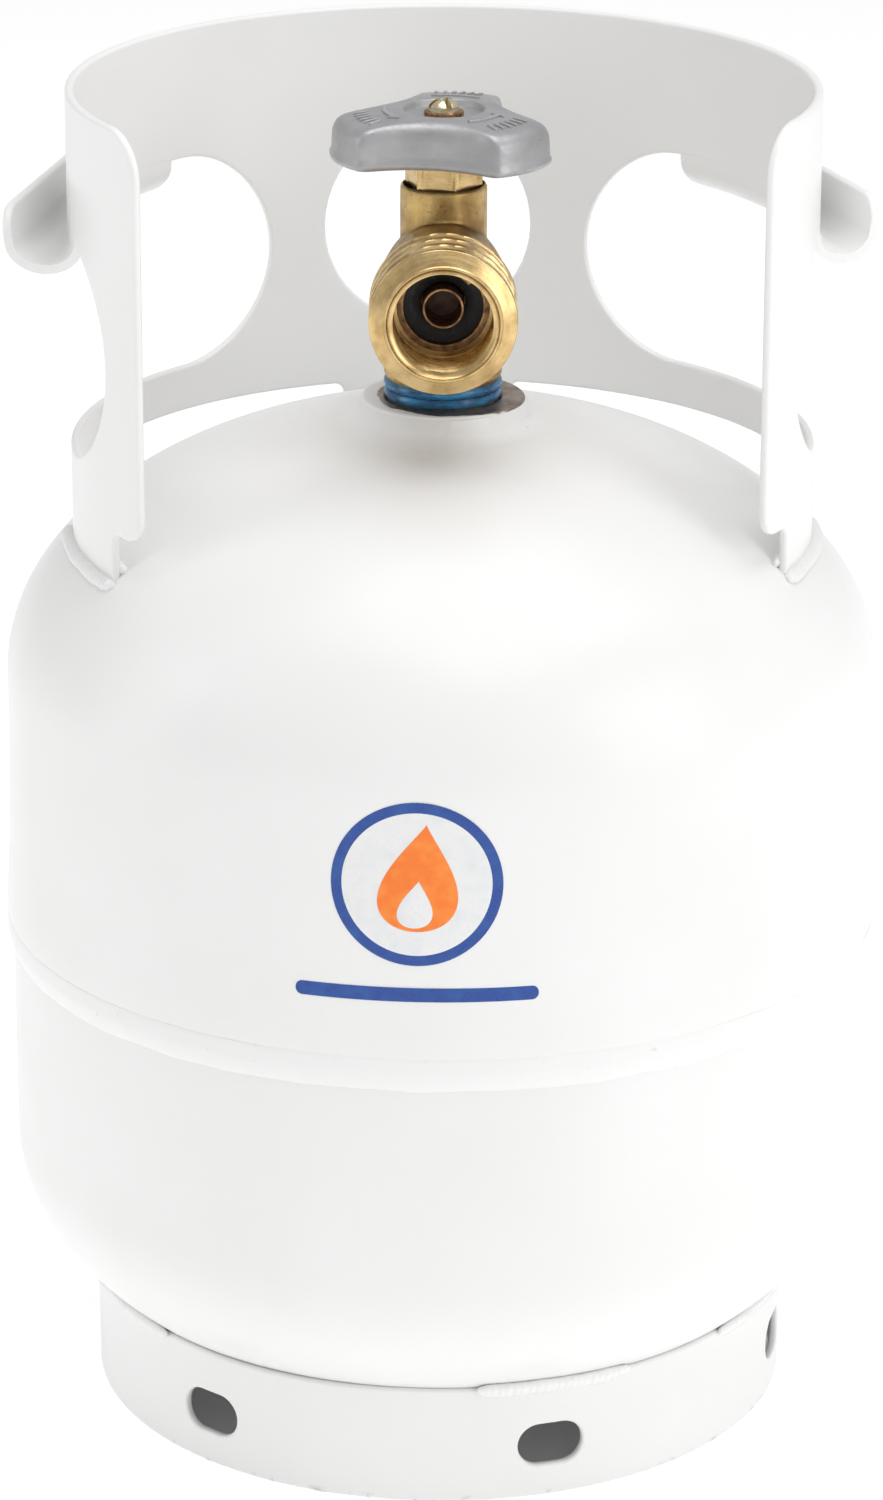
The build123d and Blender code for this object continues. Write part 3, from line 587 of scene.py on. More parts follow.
def bead(path, width, height, closed=False, pitch=1.6, ripple=0.10, seed=0.0, up=None):
    """Weld bead along points in millimetres: an oval rope with overlapping ripples and tapered ends."""
    around = 14
    sections = []
    count = len(path)
    travelled = 0.0
    for i, point in enumerate(path):
        here = Vector(point)
        before = Vector(path[i - 1] if i or closed else path[0])
        after = Vector(path[(i + 1) % count] if i < count - 1 or closed else path[-1])
        tangent = (after - before).normalized()
        out = (up(here) - tangent * up(here).dot(tangent)).normalized()
        across = tangent.cross(out)
        travelled += (here - Vector(path[i - 1])).length if i else 0.0
        phase = (travelled / pitch + 0.35 * wander(here, 0.3, seed)) % 1.0
        lift = 1.0 + ripple * (1.0 - 2.0 * phase) + 0.16 * wander(here, 0.22, seed + 3)
        taper = 1.0
        if not closed:
            end = min(i, count - 1 - i) / max(1.0, 0.9 * width / (here - before).length if i else 1.0)
            taper = math.sqrt(max(0.02, 1 - (1 - min(1.0, end)) ** 2))
        sway = 0.10 * width * wander(here, 0.15, seed + 7)
        section = []
        for k in range(around):
            a = TAU * k / around
            offset = across * (sway + width / 2 * taper * (0.85 + 0.15 * lift) * math.cos(a))
            section.append(tuple(here + offset + out * (height * taper * lift * math.sin(a))))
        sections.append(section)
    vertices, faces = rings(sections, wrap=closed)
    if not closed:
        faces.append(tuple(range(around)))
        faces.append(tuple(range(len(vertices) - around, len(vertices))))
    return vertices, faces


def arc_path(start, end, radius, z, spacing=0.4):
    """Points along a level arc between two azimuths."""
    steps = max(8, round(abs(math.radians(end - start)) * radius / spacing))
    points = []
    for k in range(steps + 1):
        a = math.radians(start + (end - start) * k / steps)
        points.append((radius * math.sin(a), -radius * math.cos(a), z))
    return points


# Vessel ------------------------------------------------------------------------------------------


def ellipse_points(radius, height, base, start, end, steps):
    """Points on a quarter of an ellipse, from one angle in degrees to another."""
    points = []
    for k in range(steps + 1):
        a = math.radians(start + (end - start) * k / steps)
        points.append((radius * math.cos(a), base + height * math.sin(a)))
    return points


def dented(amount, seed):
    """Warp of a pressed shell: slow dents of a fraction of a millimetre."""

    def warp(angle, r, h):
        point = (r * math.sin(angle), -r * math.cos(angle), h)
        return r + amount * (wander(point, 0.025, seed) - 0.35), h

    return warp


def upper_shell():
    inner = shell_r - wall
    top = math.degrees(math.acos(boss_r / shell_r))
    outer = ellipse_points(shell_r, head_rise, head_base_z, 0, top, 70)
    inside = ellipse_points(inner, head_rise - wall, head_base_z, top, 0, 30)
    side = rounded(
        [
            (inner, 168),
            (inner, lap_high_z + 8),
            (skirt_r - wall, lap_high_z + 1),
            (skirt_r - wall, lap_low_z, 0.4),
            (skirt_r, lap_low_z, 1.0),
            (skirt_r, 123.5, 6.0),
            (101.95, 138, 20.0),
            (shell_r, 160),
        ],
        closed=False,
        steps=6,
    )
    profile = outer + inside + dense(side, 3.0, closed=False)
    shape = lathe(profile, 288, warp=dented(0.10, 2.0))
    piece("upper_head", [shape], WHITE, replaces=["upper_shell"], sharp=50)


def lower_shell():
    inner = lower_shell_r - wall
    joggle = skirt_r - wall - 0.05
    outer = ellipse_points(lower_shell_r, bottom_drop, bottom_base_z, -90, 0, 70)
    inside = ellipse_points(inner, bottom_drop - wall, bottom_base_z, 0, -90, 30)
    outer[0] = (0.0, outer[0][1])
    inside[-1] = (0.0, inside[-1][1])
    side = [
        (lower_shell_r, 80),
        (lower_shell_r, bead_low_z + 1.3, 1.0),
        (joggle, bead_low_z + 3.3, 1.0),
        (joggle, lap_high_z),
        (joggle - wall, lap_high_z),
        (joggle - wall, bead_low_z + 3.3),
        (inner, bead_low_z + 1.3),
    ]
    profile = outer + dense(rounded(side, closed=False), 3.0, closed=False) + inside
    shape = lathe(profile, 288, warp=dented(0.08, 5.0), closed=False)
    piece("lower_head", [shape], WHITE, replaces=["lower_shell"], sharp=50)


def girth_weld():
    """Bead that fills the step under the upper shell's edge, laid in overlapping ripples."""
    joggle = skirt_r - wall - 0.2
    profile = [(joggle, lap_low_z + 0.6), (joggle, bead_low_z + 3.4), (lower_shell_r - 0.5, bead_low_z + 0.6)]
    profile += [(lower_shell_r - 0.1, bead_low_z)]
    for k in range(1, 12):
        t = k / 12
        r = lower_shell_r + (skirt_r - 0.02 - lower_shell_r) * t
        z = bead_low_z + (lap_low_z + 0.5 - bead_low_z) * t
        profile.append((r + 0.62 * math.sin(math.pi * t) ** 0.7, z))
    profile += [(skirt_r - 0.10, lap_low_z + 0.6)]

    def ripple(angle, r, h):
        point = (100 * math.sin(angle), -100 * math.cos(angle), 0.6 * h)
        if r < lower_shell_r - 0.2:
            return r, h
        along = angle * lower_shell_r / 2.6 + 0.035 * (h - bead_low_z) ** 2
        phase = (along + 0.3 * wander(point, 0.2, 4)) % 1.0
        lift = 0.045 * (0.5 - phase) + 0.12 * wander(point, 0.11, 9)
        edge = 0.40 * wander(point, 0.10, 11) if h < bead_low_z + 1.2 else 0.0
        return min(r + lift, 102.79), h + edge

    shape = lathe(profile, 1440, warp=ripple)
    piece("girth_bead", [shape], WELD_WHITE, replaces=["girth_weld"], sharp=70)


def valve_boss():
    profile = rounded(
        [
            (boss_bore_r, 227),
            (boss_r, 227),
            (boss_r, boss_top_z, 0.8),
            (boss_bore_r, boss_top_z, 1.0),
        ]
    )
    shape = lathe(dense(profile, 1.0), 160, warp=dented(0.03, 8.0))
    piece("valve_boss_ring", [shape], BOSS_STEEL, replaces=["valve_boss"])


def boss_weld():
    """Fillet weld round the boss, under a thick coat."""
    foot_r = 25.2
    profile = [
        (boss_r - 0.4, head_z(boss_r) - 1.0),
        (foot_r, head_z(foot_r) - 0.8),
        (foot_r, head_z(foot_r) - 0.05),
        (23.6, head_z(23.6) + 0.12),
        (22.2, head_z(22.2) + 0.42),
        (21.0, head_z(21.0) + 0.95),
        (20.0, head_z(20.0) + 1.75),
        (19.3, boss_top_z - 0.75),
        (boss_r - 0.4, boss_top_z - 0.55),
    ]

    def lumps(angle, r, h):
        point = (r * math.sin(angle), -r * math.cos(angle), h)
        if r < boss_r or h < head_z(r) - 0.5:
            return r, h
        phase = (angle * 21 / 2.2 + 0.3 * wander(point, 0.3, 1)) % 1.0
        return r, h + 0.05 * (0.5 - phase) + 0.22 * wander(point, 0.16, 6)

    shape = lathe(profile, 480, warp=lumps)
    piece("boss_fillet", [shape], WELD_WHITE, replaces=["boss_weld"], sharp=60)


# Guard collar ------------------------------------------------------------------------------------


def arc_length(azimuth):
    return math.radians(azimuth) * collar_mid_r


def round_hole(azimuth, z, radius, start=0.0, end=360.0, steps=48):
    """Points of a drilled-through circle, or of a part of one, on the unrolled sheet."""
    points = []
    for k in range(steps + 1):
        a = math.radians(start + (end - start) * k / steps)
        across = collar_mid_r * math.asin(radius * math.cos(a) / collar_mid_r)
        points.append((arc_length(azimuth) + across, z + radius * math.sin(a)))
    return points


def collar_outline():
    """The blank's outer edge: square front corners rounded, and three feet down to the head."""
    low, high = collar_gap_half, 360 - collar_gap_half
    foot_z = head_z(collar_mid_r) - 1.0
    corners = [(arc_length(low), collar_high_z, 11.0), (arc_length(low), collar_low_z, 5.5)]
    for start, end in collar_feet:
        corners += [
            (arc_length(start), collar_low_z, 2.5),
            (arc_length(start), foot_z),
            (arc_length(end), foot_z),
            (arc_length(end), collar_low_z, 2.5),
        ]
    corners += [(arc_length(high), collar_low_z, 5.5), (arc_length(high), collar_high_z, 11.0)]
    return dense(rounded(corners, steps=10), 4.0)


def grip(azimuth, reach):
    """Gutter folded outwards from a slot's upper edge, straight along its lip, with rounded lip corners."""
    thickness = collar_sheet + 0.06
    root_z, bend_z, floor_z = 287.0, 282.6, 276.4
    outer_n, tip_n, tip_z = 90.0 + reach, 91.2 + reach, 288.9
    corner_r = 7.5
    middle = math.radians(collar_turn + azimuth)
    out = Vector((math.sin(middle), -math.cos(middle), 0))
    along = Vector((-out.y, out.x, 0))
    stations = [grip_half * math.sin(math.radians(a)) for a in range(-90, 91, 5)]
    sections = []
    for s in stations:
        leg = math.sqrt(collar_mid_r**2 - s**2)
        centre = (leg + outer_n) / 2
        span = outer_n - centre
        line = [(leg, root_z), (leg, (root_z + bend_z) / 2)]
        for k in range(25):
            a = math.radians(180 + 180 * k / 24)
            line.append((centre + span * math.cos(a), bend_z + (bend_z - floor_z) * math.sin(a)))
        inset = max(0.0, corner_r - (grip_half - abs(s)))
        cut = corner_r - math.sqrt(max(0.0, corner_r**2 - inset**2))
        top = tip_z - 0.85 * cut
        lift = max(0.05, top - bend_z)
        for k in range(1, 9):
            t = k / 8
            line.append((outer_n + (tip_n - outer_n) * t * lift / (tip_z - bend_z), bend_z + lift * t))
        left, right = [], []
        for i, (n, z) in enumerate(line):
            before, after = line[max(0, i - 1)], line[min(len(line) - 1, i + 1)]
            tangent = Vector((after[0] - before[0], after[1] - before[1])).normalized()
            normal = Vector((-tangent.y, tangent.x)) * (thickness / 2)
            left.append((n + normal.x, z + normal.y))
            right.append((n - normal.x, z - normal.y))
        end_n, end_z = line[-1]
        cap = []
        for k in range(1, 6):
            a = math.pi * k / 6
            cap.append((end_n - thickness / 2 * math.cos(a), end_z + thickness / 2 * math.sin(a)))
        ring = left + cap + right[::-1]
        sections.append([tuple(out * n + along * s + Vector((0, 0, z))) for n, z in ring])
    vertices, faces = rings(sections, wrap=False)
    count = len(sections[0])
    faces.append(tuple(range(count)))
    faces.append(tuple(range(len(vertices) - count, len(vertices))))
    return vertices, faces


def guard_collar():
    holes = [round_hole(180, window_z, window_r)[:-1]]
    for low, high in slot_ends:
        right = round_hole(high, slot_z, slot_r, -90, 90, 32)
        left = round_hole(low, slot_z, slot_r, 90, 270, 32)
        holes.append(dense(right + left, 4.0))
    vertices, faces = bent_sheet(
        [collar_outline(), *holes], collar_sheet, 0.75, collar_mid_r
    )
    turn = Matrix.Rotation(math.radians(collar_turn), 4, "Z")
    vertices = [tuple(turn @ Vector(v)) for v in vertices]
    collar = piece("guard_collar", [(vertices, faces)], WHITE, replaces=["collar"], sharp=50)
    weighted = collar.modifiers.new("normals", "WEIGHTED_NORMAL")
    weighted.keep_sharp = True
    for side, azimuth, reach in grips:
        lip = piece(f"hand_grip_{side}", [grip(azimuth, reach)], WHITE, sharp=60)
        soften(lip, 0.6, angle=60)


def collar_welds():
    """Fillet beads on both sides of each foot of the collar."""
    parts = []
    for index, (start, end) in enumerate(collar_feet):
        for side in (1, -1):
            r = collar_mid_r + side * (collar_sheet / 2 + 0.7)
            path = arc_path(collar_turn + start - 0.6, collar_turn + end + 0.6, r, head_z(r) + 0.4)

            def outwards(point, side=side):
                flat = Vector((point.x, point.y, 0)).normalized()
                return flat * side * 0.8 + Vector((0, 0, 1.0 + 0.4 * side))

            parts.append(
                bead(path, 3.7, 1.35, pitch=1.7, ripple=0.22, seed=11 * index + side, up=outwards)
            )
    piece("collar_beads", parts, WELD_WHITE, replaces=["collar_welds"], sharp=70)


# Foot ring ---------------------------------------------------------------------------------------


def foot_ring():
    """Rolled strip with six drain slots and a welded joint at the back."""
    around = TAU * foot_mid_r
    seam = -around / 2
    top = []
    for k in range(181):
        u = seam + around * k / 180
        phase = max(0.0, min(180.0, (u / foot_mid_r * 57.3 + 62) * 3.2))
        gap = 0.35 * max(0.0, math.sin(math.radians(phase)))
        top.append((u, foot_top_z - gap))
    outline = [(seam, 0.0), *[(seam + around * k / 120, 0.0) for k in range(1, 121)], *top[::-1]]
    holes = []
    for k in range(6):
        middle = math.radians((drain_first + drain_pitch * (k - 1) + 180) % 360 - 180) * foot_mid_r
        corners = [
            (middle + x * 7.8, drain_z + y * 5.1, 5.05) for x, y in ((1, 1), (-1, 1), (-1, -1), (1, -1))
        ]
        holes.append(rounded(corners, steps=10))
    shape = bent_sheet([outline, *holes], foot_sheet, 0.7, foot_mid_r)
    ring = piece("foot_band", [shape], WHITE, replaces=["foot_ring"], sharp=50)
    weighted = ring.modifiers.new("normals", "WEIGHTED_NORMAL")
    weighted.keep_sharp = True

    def outwards(point):
        return Vector((point.x, point.y, 0)).normalized()

    seam_path = [(0.0, foot_mid_r + 0.35, 0.6 + 0.4 * k) for k in range(67)]
    joint = bead(seam_path, 4.6, 1.05, pitch=1.8, ripple=0.2, seed=40, up=outwards)
    piece("foot_joint_bead", [joint], WELD_WHITE, sharp=70)


def foot_ring_welds():
    parts = []
    for index, (start, end) in enumerate(foot_weld_runs):
        r = foot_mid_r + foot_sheet / 2 + 0.7
        path = arc_path(start, end, r, foot_top_z - 0.1)

        def outwards(point):
            return Vector((point.x, point.y, 0)).normalized() + Vector((0, 0, -0.75))

        parts.append(bead(path, 4.6, 1.35, pitch=1.7, ripple=0.14, seed=60 + 5 * index, up=outwards))
    piece("foot_beads", parts, WELD_WHITE, replaces=["foot_ring_welds"], sharp=70)


# Valve -------------------------------------------------------------------------------------------

IN_OUTLET = on_axis(outlet_z, (0, -1, 0))


def remeshed(parts, voxel, smoothing):
    """One closed skin over overlapping closed parts, with its creases smoothed."""
    lump = loose_object("lump", parts)
    remesh = lump.modifiers.new("skin", "REMESH")
    remesh.mode = "VOXEL"
    remesh.voxel_size = voxel
    smooth = lump.modifiers.new("smooth", "SMOOTH")
    smooth.factor = 0.5
    smooth.iterations = smoothing
    return lump


def cut_away(lump, parts):
    """Subtract closed parts from an object and return the resulting mesh as vertices and faces."""
    cutter = loose_object("cutter", parts)
    boolean = lump.modifiers.new("bores", "BOOLEAN")
    boolean.operation = "DIFFERENCE"
    boolean.object = cutter
    boolean.solver = "EXACT"
    bpy.context.view_layer.update()
    evaluated = lump.evaluated_get(bpy.context.evaluated_depsgraph_get())
    result = bpy.data.meshes.new_from_object(evaluated)
    vertices = [tuple(v.co) for v in result.vertices]
    faces = [tuple(p.vertices) for p in result.polygons]
    bpy.data.objects.remove(cutter)
    bpy.data.objects.remove(lump)
    return vertices, faces


def turned(profile, segments, placement=None):
    """A lathe of an open profile that starts and ends on the axis, moved to its placement."""
    vertices, faces = lathe(profile, segments, closed=False)
    if placement is not None:
        vertices = [tuple(placement @ Vector(v)) for v in vertices]
    return vertices, faces


def valve_casting():
    relief = on_axis(relief_z, (0, 1, 0))
    vent = on_axis(vent_z, vent_out)
    body = rounded(
        [
            (0, 222),
            (12.95, 222),
            (12.95, boss_top_z + 4.8, 0.3),
            (13.6, boss_top_z + 5.5, 0.3),
            (13.6, 253, 3.0),
            (14.2, 260, 4.0),
            (14.2, 267.5, 4.0),
            (12.4, 273.6, 3.0),
            (neck_r, 277.5, 2.5),
            (neck_r, neck_top_z, 0.5),
            (0, neck_top_z),
        ],
        closed=False,
    )
    nose = [(0, 2), (13.8, 2), (15.0, 12, 3), (15.2, 19.5, 1.0), (14.3, 21), (14.3, 24.4), (0, 24.4)]
    nose = rounded(nose, closed=False)
    relief_boss = rounded([(0, 2), (8.1, 2), (8.2, 27.0, 0.8), (0, 27.0)], closed=False)
    vent_boss = rounded([(0, 2), (5.5, 2), (5.0, 15.5, 0.6), (0, 15.5)], closed=False)
    lump = remeshed(
        [
            turned(body, 96),
            turned(nose, 96, IN_OUTLET),
            turned(relief_boss, 64, relief),
            turned(vent_boss, 48, vent),
        ],
        0.45,
        6,
    )
    bores = [
        turned([(0, 260), (7.45, 260), (7.45, 290), (9.3, 290), (9.3, 293), (0, 293)], 72),
        turned([(0, 14), (10.6, 14), (10.6, 30), (0, 30)], 72, IN_OUTLET),
        turned([(0, 14), (6.5, 14), (6.5, 30), (0, 30)], 48, relief),
        turned([(0, 9.9), (2.5, 9.9), (2.5, 18), (0, 18)], 32, vent),
        turned([(0, 220), (6.5, 220), (6.5, 240), (0, 240)], 48),
    ]
    shape = cut_away(lump, bores)
    piece("valve_casting", [shape], CAST_BRASS, replaces=["valve_body"], sharp=38)


def thread_step(turns, rise, fall, crest):
    """Height between 0 and 1 across one pitch of a thread with flat crests."""
    t = turns % 1.0
    if t < rise:
        return t / rise
    if t < rise + crest:
        return 1.0
    if t < rise + crest + fall:
        return 1.0 - (t - rise - crest) / fall
    return 0.0


def outlet_nose():
    """Machined end of the outlet: coarse outer thread, bevelled face and fine thread inside."""
    outer_pitch, outer_depth = 5.08, 1.5
    inner_pitch, inner_depth = 1.814, 0.75
    bore_r = 11.25
    start, stop = 24.2, outlet_face - 2.6
    outer = [(14.4 if h < 24.6 else outlet_r, h) for h in (24.2, 24.6)]
    rows = 84
    outer += [(outlet_r, start + 0.8 + (stop - start - 0.8) * k / rows) for k in range(rows + 1)]
    face = rounded(
        [
            (outlet_r, outlet_face - 2.55),
            (outlet_r - 0.1, outlet_face - 2.2, 0.3),
            (13.4, outlet_face - 0.35, 0.4),
            (13.15, outlet_face - 0.05, 0.15),
            (12.75, outlet_face, 0.15),
            (12.55, outlet_face - 0.35, 0.1),
            (bore_r + 0.65, outlet_face - 1.1),
        ],
        closed=False,
    )
    inner_rows = 150
    inner_start, inner_stop = outlet_face - 1.3, 28.8
    inner_length = inner_stop - inner_start
    inner = [(bore_r, inner_start + inner_length * k / inner_rows) for k in range(inner_rows + 1)]
    back = [(bore_r + 0.5, 28.75), (bore_r + 0.5, 26.45), (10.5, 26.4), (10.5, 24.5), (14.0, 24.2)]
    profile = outer + face + inner + back

    def threads(angle, r, h):
        turns = angle / TAU
        if r > outlet_r - 0.01 and start + 0.5 < h < outlet_face - 2.56:
            height = thread_step(h / outer_pitch - turns, 0.16, 0.16, 0.36)
            fade = min(1.0, (h - start - 0.5) / 1.0)
            end = min(1.0, (outlet_face - 2.4 - h) / 1.2)
            return r - outer_depth * (1 - height) * min(fade, max(0.0, end)) - 0.05 * (1 - fade), h
        if abs(r - bore_r) < 0.01 and inner_stop + 0.4 < h < inner_start - 0.1:
            t = (h / inner_pitch + turns) % 1.0
            return r + inner_depth * abs(2 * t - 1) - 0.1, h
        return r, h

    vertices, faces = lathe(profile, 216, warp=threads)
    piece("outlet_threads", [(vertices, faces)], OUTLET_BRASS, place=IN_OUTLET, sharp=32)


def outlet_inside():
    """Retaining ring with its key, rubber seal and the check valve's tube."""
    ring_profile = rounded([(8.9, 24.6, 0.25), (10.45, 24.6), (10.45, 26.4), (8.9, 26.4, 0.3)])
    key = math.radians(140)

    def notched(angle, r, h):
        side = abs((angle - key + math.pi) % TAU - math.pi)
        return (r - 1.5 if r < 9.3 and side < 0.16 and h > 25.5 else r), h

    shape = lathe(dense(ring_profile, 0.4), 200, warp=notched)
    piece("retaining_ring", [shape], BRONZE, replaces=["outlet_retainer"], place=IN_OUTLET)
    seal = rounded([(4.95, 21.75), (10.35, 21.75), (10.35, 24.5), (7.2, 24.5, 0.6), (4.95, 23.9, 0.3)])
    shape = lathe(dense(seal, 0.6), 120)
    piece("mouth_seal", [shape], RUBBER, replaces=["outlet_seal"], place=IN_OUTLET)
    tube = rounded(
        [
            (0, 12),
            (2, 12),
            (2, 19.6),
            (7.15, 19.6, 0.2),
            (7.15, 21.6, 0.2),
            (4.75, 21.6),
            (4.75, 28.5, 0.25),
            (4.05, 28.5, 0.2),
            (4.05, 20.6),
            (0, 20.6),
        ],
        closed=False,
    )
    shape = lathe(tube, 96, closed=False)
    piece(
        "check_valve_tube",
        [shape],
        BRONZE,
        body="outlet_check_valve",
        replaces=["outlet_check"],
        place=IN_OUTLET,
    )
    # The core's almost black colour is painted shade at the bottom of the check tube.
    core = rounded([(0, 20.4), (4.15, 20.4), (4.15, 21.5), (3.9, 21.5), (3.7, 20.9), (0, 20.9)], closed=False)
    shape = lathe(core, 64, closed=False)
    piece("check_valve_core", [shape], PAINTED_SHADE_BRASS, body="outlet_check_valve", place=IN_OUTLET)


def thread_sealant():
    """Two squeezed-out turns of sealant between the valve and the boss."""
    parts = []
    for index, (low, swell) in enumerate(((boss_top_z + 0.0, 0.55), (boss_top_z + 2.35, 0.7))):
        profile = []
        for k in range(13):
            t = k / 12
            profile.append((12.98 + swell * math.sin(math.pi * t) ** 0.6, low + 2.35 * t))
        profile.append((12.2, low + 2.3))
        profile.append((12.2, low + 0.05))

        def smear(angle, r, h, index=index):
            point = (13 * math.sin(angle), -13 * math.cos(angle), 1.6 * h)
            if r < 12.9:
                return r, h
            return r + 0.16 * wander(point, 0.18, 3 + index), h + 0.10 * wander(point, 0.15, 8)

        parts.append(lathe(profile, 240, warp=smear))
    piece("sealant_turns", parts, SEALANT, replaces=["thread_sealant"], sharp=80)


def hex_nut():
    """Bonnet nut: chamfered hexagon over a plain shank."""
    flats = 15.6
    corner = flats / 2 / math.cos(math.radians(30))
    low, high = 290.85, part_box("bonnet_nut")[1].z / MM

    def hexagon(angle, cap):
        local = (angle + math.radians(12) + math.radians(30)) % math.radians(60) - math.radians(30)
        return min(flats / 2 / math.cos(local), cap)

    stack = [
        (3.6, 279.1, False),
        (7.4, 279.1, False),
        (7.4, low - 0.05, False),
        (corner - 0.35, low, True),
        (corner, low + 0.4, True),
        (corner, high - 0.6, True),
        (corner - 0.75, high - 0.15, True),
        (corner - 1.05, high, True),
        (3.6, high, False),
    ]
    sections = []
    for k in range(240):
        angle = TAU * k / 240
        section = []
        for r, h, six in stack:
            here = hexagon(angle, r) if six else r
            section.append((here * math.sin(angle), -here * math.cos(angle), h))
        sections.append(section)
    piece("hex_nut", [rings(sections)], STEM_BRASS, replaces=["bonnet_nut"], sharp=22)


# Handwheel ---------------------------------------------------------------------------------------

wheel_tip_r = 25.8
lobe_half = math.radians(23.0)
wheel_rim_z = 307.2
wheel_crown_z = 309.6
recess_r, recess_z = 9.05, 307.7
wheel_turn = math.radians(-10.0)
side_sag = 4.5


def wheel_edge(angle):
    """Radius of the three-lobed outline at an azimuth."""
    third = TAU / 3
    local = (angle - wheel_turn - math.radians(60) + third / 2) % third - third / 2
    if abs(local) <= lobe_half:
        return wheel_tip_r + 0.4 * math.cos(local / lobe_half * math.pi / 2)
    # The concave side is an arc through both lobe corners; its centre lies outside on the bisector.
    half_gap = third / 2 - lobe_half
    chord_r = wheel_tip_r * math.cos(half_gap)
    half_chord = wheel_tip_r * math.sin(half_gap)
    arc_r = (half_chord**2 + side_sag**2) / (2 * side_sag)
    centre_r = chord_r - side_sag + arc_r
    off = third / 2 - abs(local)
    along = centre_r * math.cos(off)
    return along - math.sqrt(arc_r**2 - (centre_r * math.sin(off)) ** 2)


def soft_edge(angle):
    """The outline with its lobe corners rounded."""
    spread = math.radians(3.6)
    return sum(wheel_edge(angle + spread * k / 4) * (1 - abs(k) / 5) for k in range(-4, 5)) / sum(
        1 - abs(k) / 5 for k in range(-4, 5)
    )


def crown_z(r):
    """Height of the wheel's domed top at radius r."""
    return wheel_crown_z - (wheel_crown_z - wheel_rim_z) * (r / wheel_tip_r) ** 2


def handwheel():
    low, cavity_z = wheel_low_z, 304.2
    # Rings by how far they lie in from the outline and how far below the crown, or above the skirt.
    skirt = [(2.35, low + 0.6), (2.1, low + 0.12), (1.7, low), (0.7, low), (0.25, low + 0.25)]
    skirt += [(0.0, low + 0.9), (0.0, low + 1.5), (0.35, low + 2.0), (0.42, low + 3.2)]
    side = [(0.5, 4.0), (0.62, 2.6), (0.95, 1.6), (1.5, 0.85), (2.2, 0.33), (3.1, 0.06), (4.0, 0.0)]
    crown = [0.25, 0.5, 0.75, 0.93]
    inner = [
        (recess_r + 0.5, crown_z(recess_r) - 0.03),
        (recess_r + 0.12, crown_z(recess_r) - 0.3),
        (recess_r, recess_z + 0.25),
        (recess_r - 0.3, recess_z),
        (4.0, recess_z),
        (3.95, recess_z - 0.3),
        (3.95, 299.0),
        (6.4, 299.0),
        (6.4, cavity_z),
    ]
    sections = []
    for k in range(720):
        angle = TAU * k / 720
        edge = soft_edge(angle)
        section = [(edge - 2.35, cavity_z)] + [(edge - inset, z) for inset, z in skirt]
        section += [(edge - inset, crown_z(edge - inset) - drop) for inset, drop in side]
        for t in crown:
            r = (edge - 4.0) * (1 - t) + (recess_r + 0.5) * t
            section.append((r, crown_z(r)))
        section += inner
        sections.append([(r * math.sin(angle), -r * math.cos(angle), z) for r, z in section])
    shape, old = rings(sections), ["handwheel"]
    piece("handwheel_casting", [shape], GREY, body=STEM, replaces=old, sharp=50)


def wheel_marks():
    """Raised turning arrows and short ridges on the wheel's crown."""
    height = 0.45
    parts = []

    def polar(r, degrees):
        a = math.radians(degrees)
        return (r * math.sin(a), -r * math.cos(a))

    def slab(outline):
        count = len(outline)
        radii = [math.hypot(x, y) for x, y in outline]
        vertices = [(x, y, crown_z(r) - 0.3) for (x, y), r in zip(outline, radii)]
        vertices += [(x, y, crown_z(r) + height) for (x, y), r in zip(outline, radii)]
        faces = [tuple(range(count))[::-1], tuple(range(count, 2 * count))]
        faces += [(i, (i + 1) % count, count + (i + 1) % count, count + i) for i in range(count)]
        parts.append((vertices, faces))

    for lobe in range(3):
        middle = math.degrees(wheel_turn) + 60 + 120 * lobe
        start, end, r = middle - 26, middle + 12, 13.6
        for k in range(12):
            a, b = start + (end - start) * k / 12, start + (end - start) * (k + 1) / 12 + 0.3
            slab([polar(r - 0.55, a), polar(r - 0.55, b), polar(r + 0.55, b), polar(r + 0.55, a)])
        slab([polar(r - 1.7, end), polar(r, end + 11), polar(r + 1.7, end)])
        for offset in (-15, -9, -3, 3, 9, 15):
            a = middle + offset
            slab([polar(17.2, a - 1.3), polar(20.6, a - 1.1), polar(20.6, a + 1.1), polar(17.2, a + 1.3)])
    marks = piece("wheel_marks", parts, GREY, body=STEM, sharp=30)
    soften(marks, 0.14, segments=2)


# Badge -------------------------------------------------------------------------------------------


badge_z = 160.0


def badge_part(outlines, lift):
    """Thin printed film laid on the shell's side, from outlines in millimetres about the badge's middle."""
    middle_azimuth = math.radians(-3.0)
    thickness = 0.06
    flat_r = side_r(badge_z)

    vertices, faces = bent_sheet(outlines, thickness, 0.015, flat_r, cut=1.5)
    turn = Matrix.Rotation(middle_azimuth, 4, "Z")
    placed = []
    for x, y, z in vertices:
        grow = (side_r(z) + lift) / flat_r
        placed.append(tuple(turn @ Vector((x * grow, y * grow, z))))
    return placed, faces


def ring_points(cx, cz, r, steps=96):
    angles = [TAU * k / steps for k in range(steps)]
    return [(cx + r * math.cos(a), cz + r * math.sin(a)) for a in angles]


def drop_points(cx, cz, width, height, lean, steps=72):
    """A plain drop with a leaning tip."""
    points = []
    for k in range(steps):
        a = TAU * k / steps
        t = (1 - math.cos(a)) / 2
        x = width / 2 * math.sin(a) * math.sin(a / 2) ** 1.35 * 1.45
        points.append((cx + x + lean * (1 - t) ** 2, cz + height * (0.62 - t)))
    return points


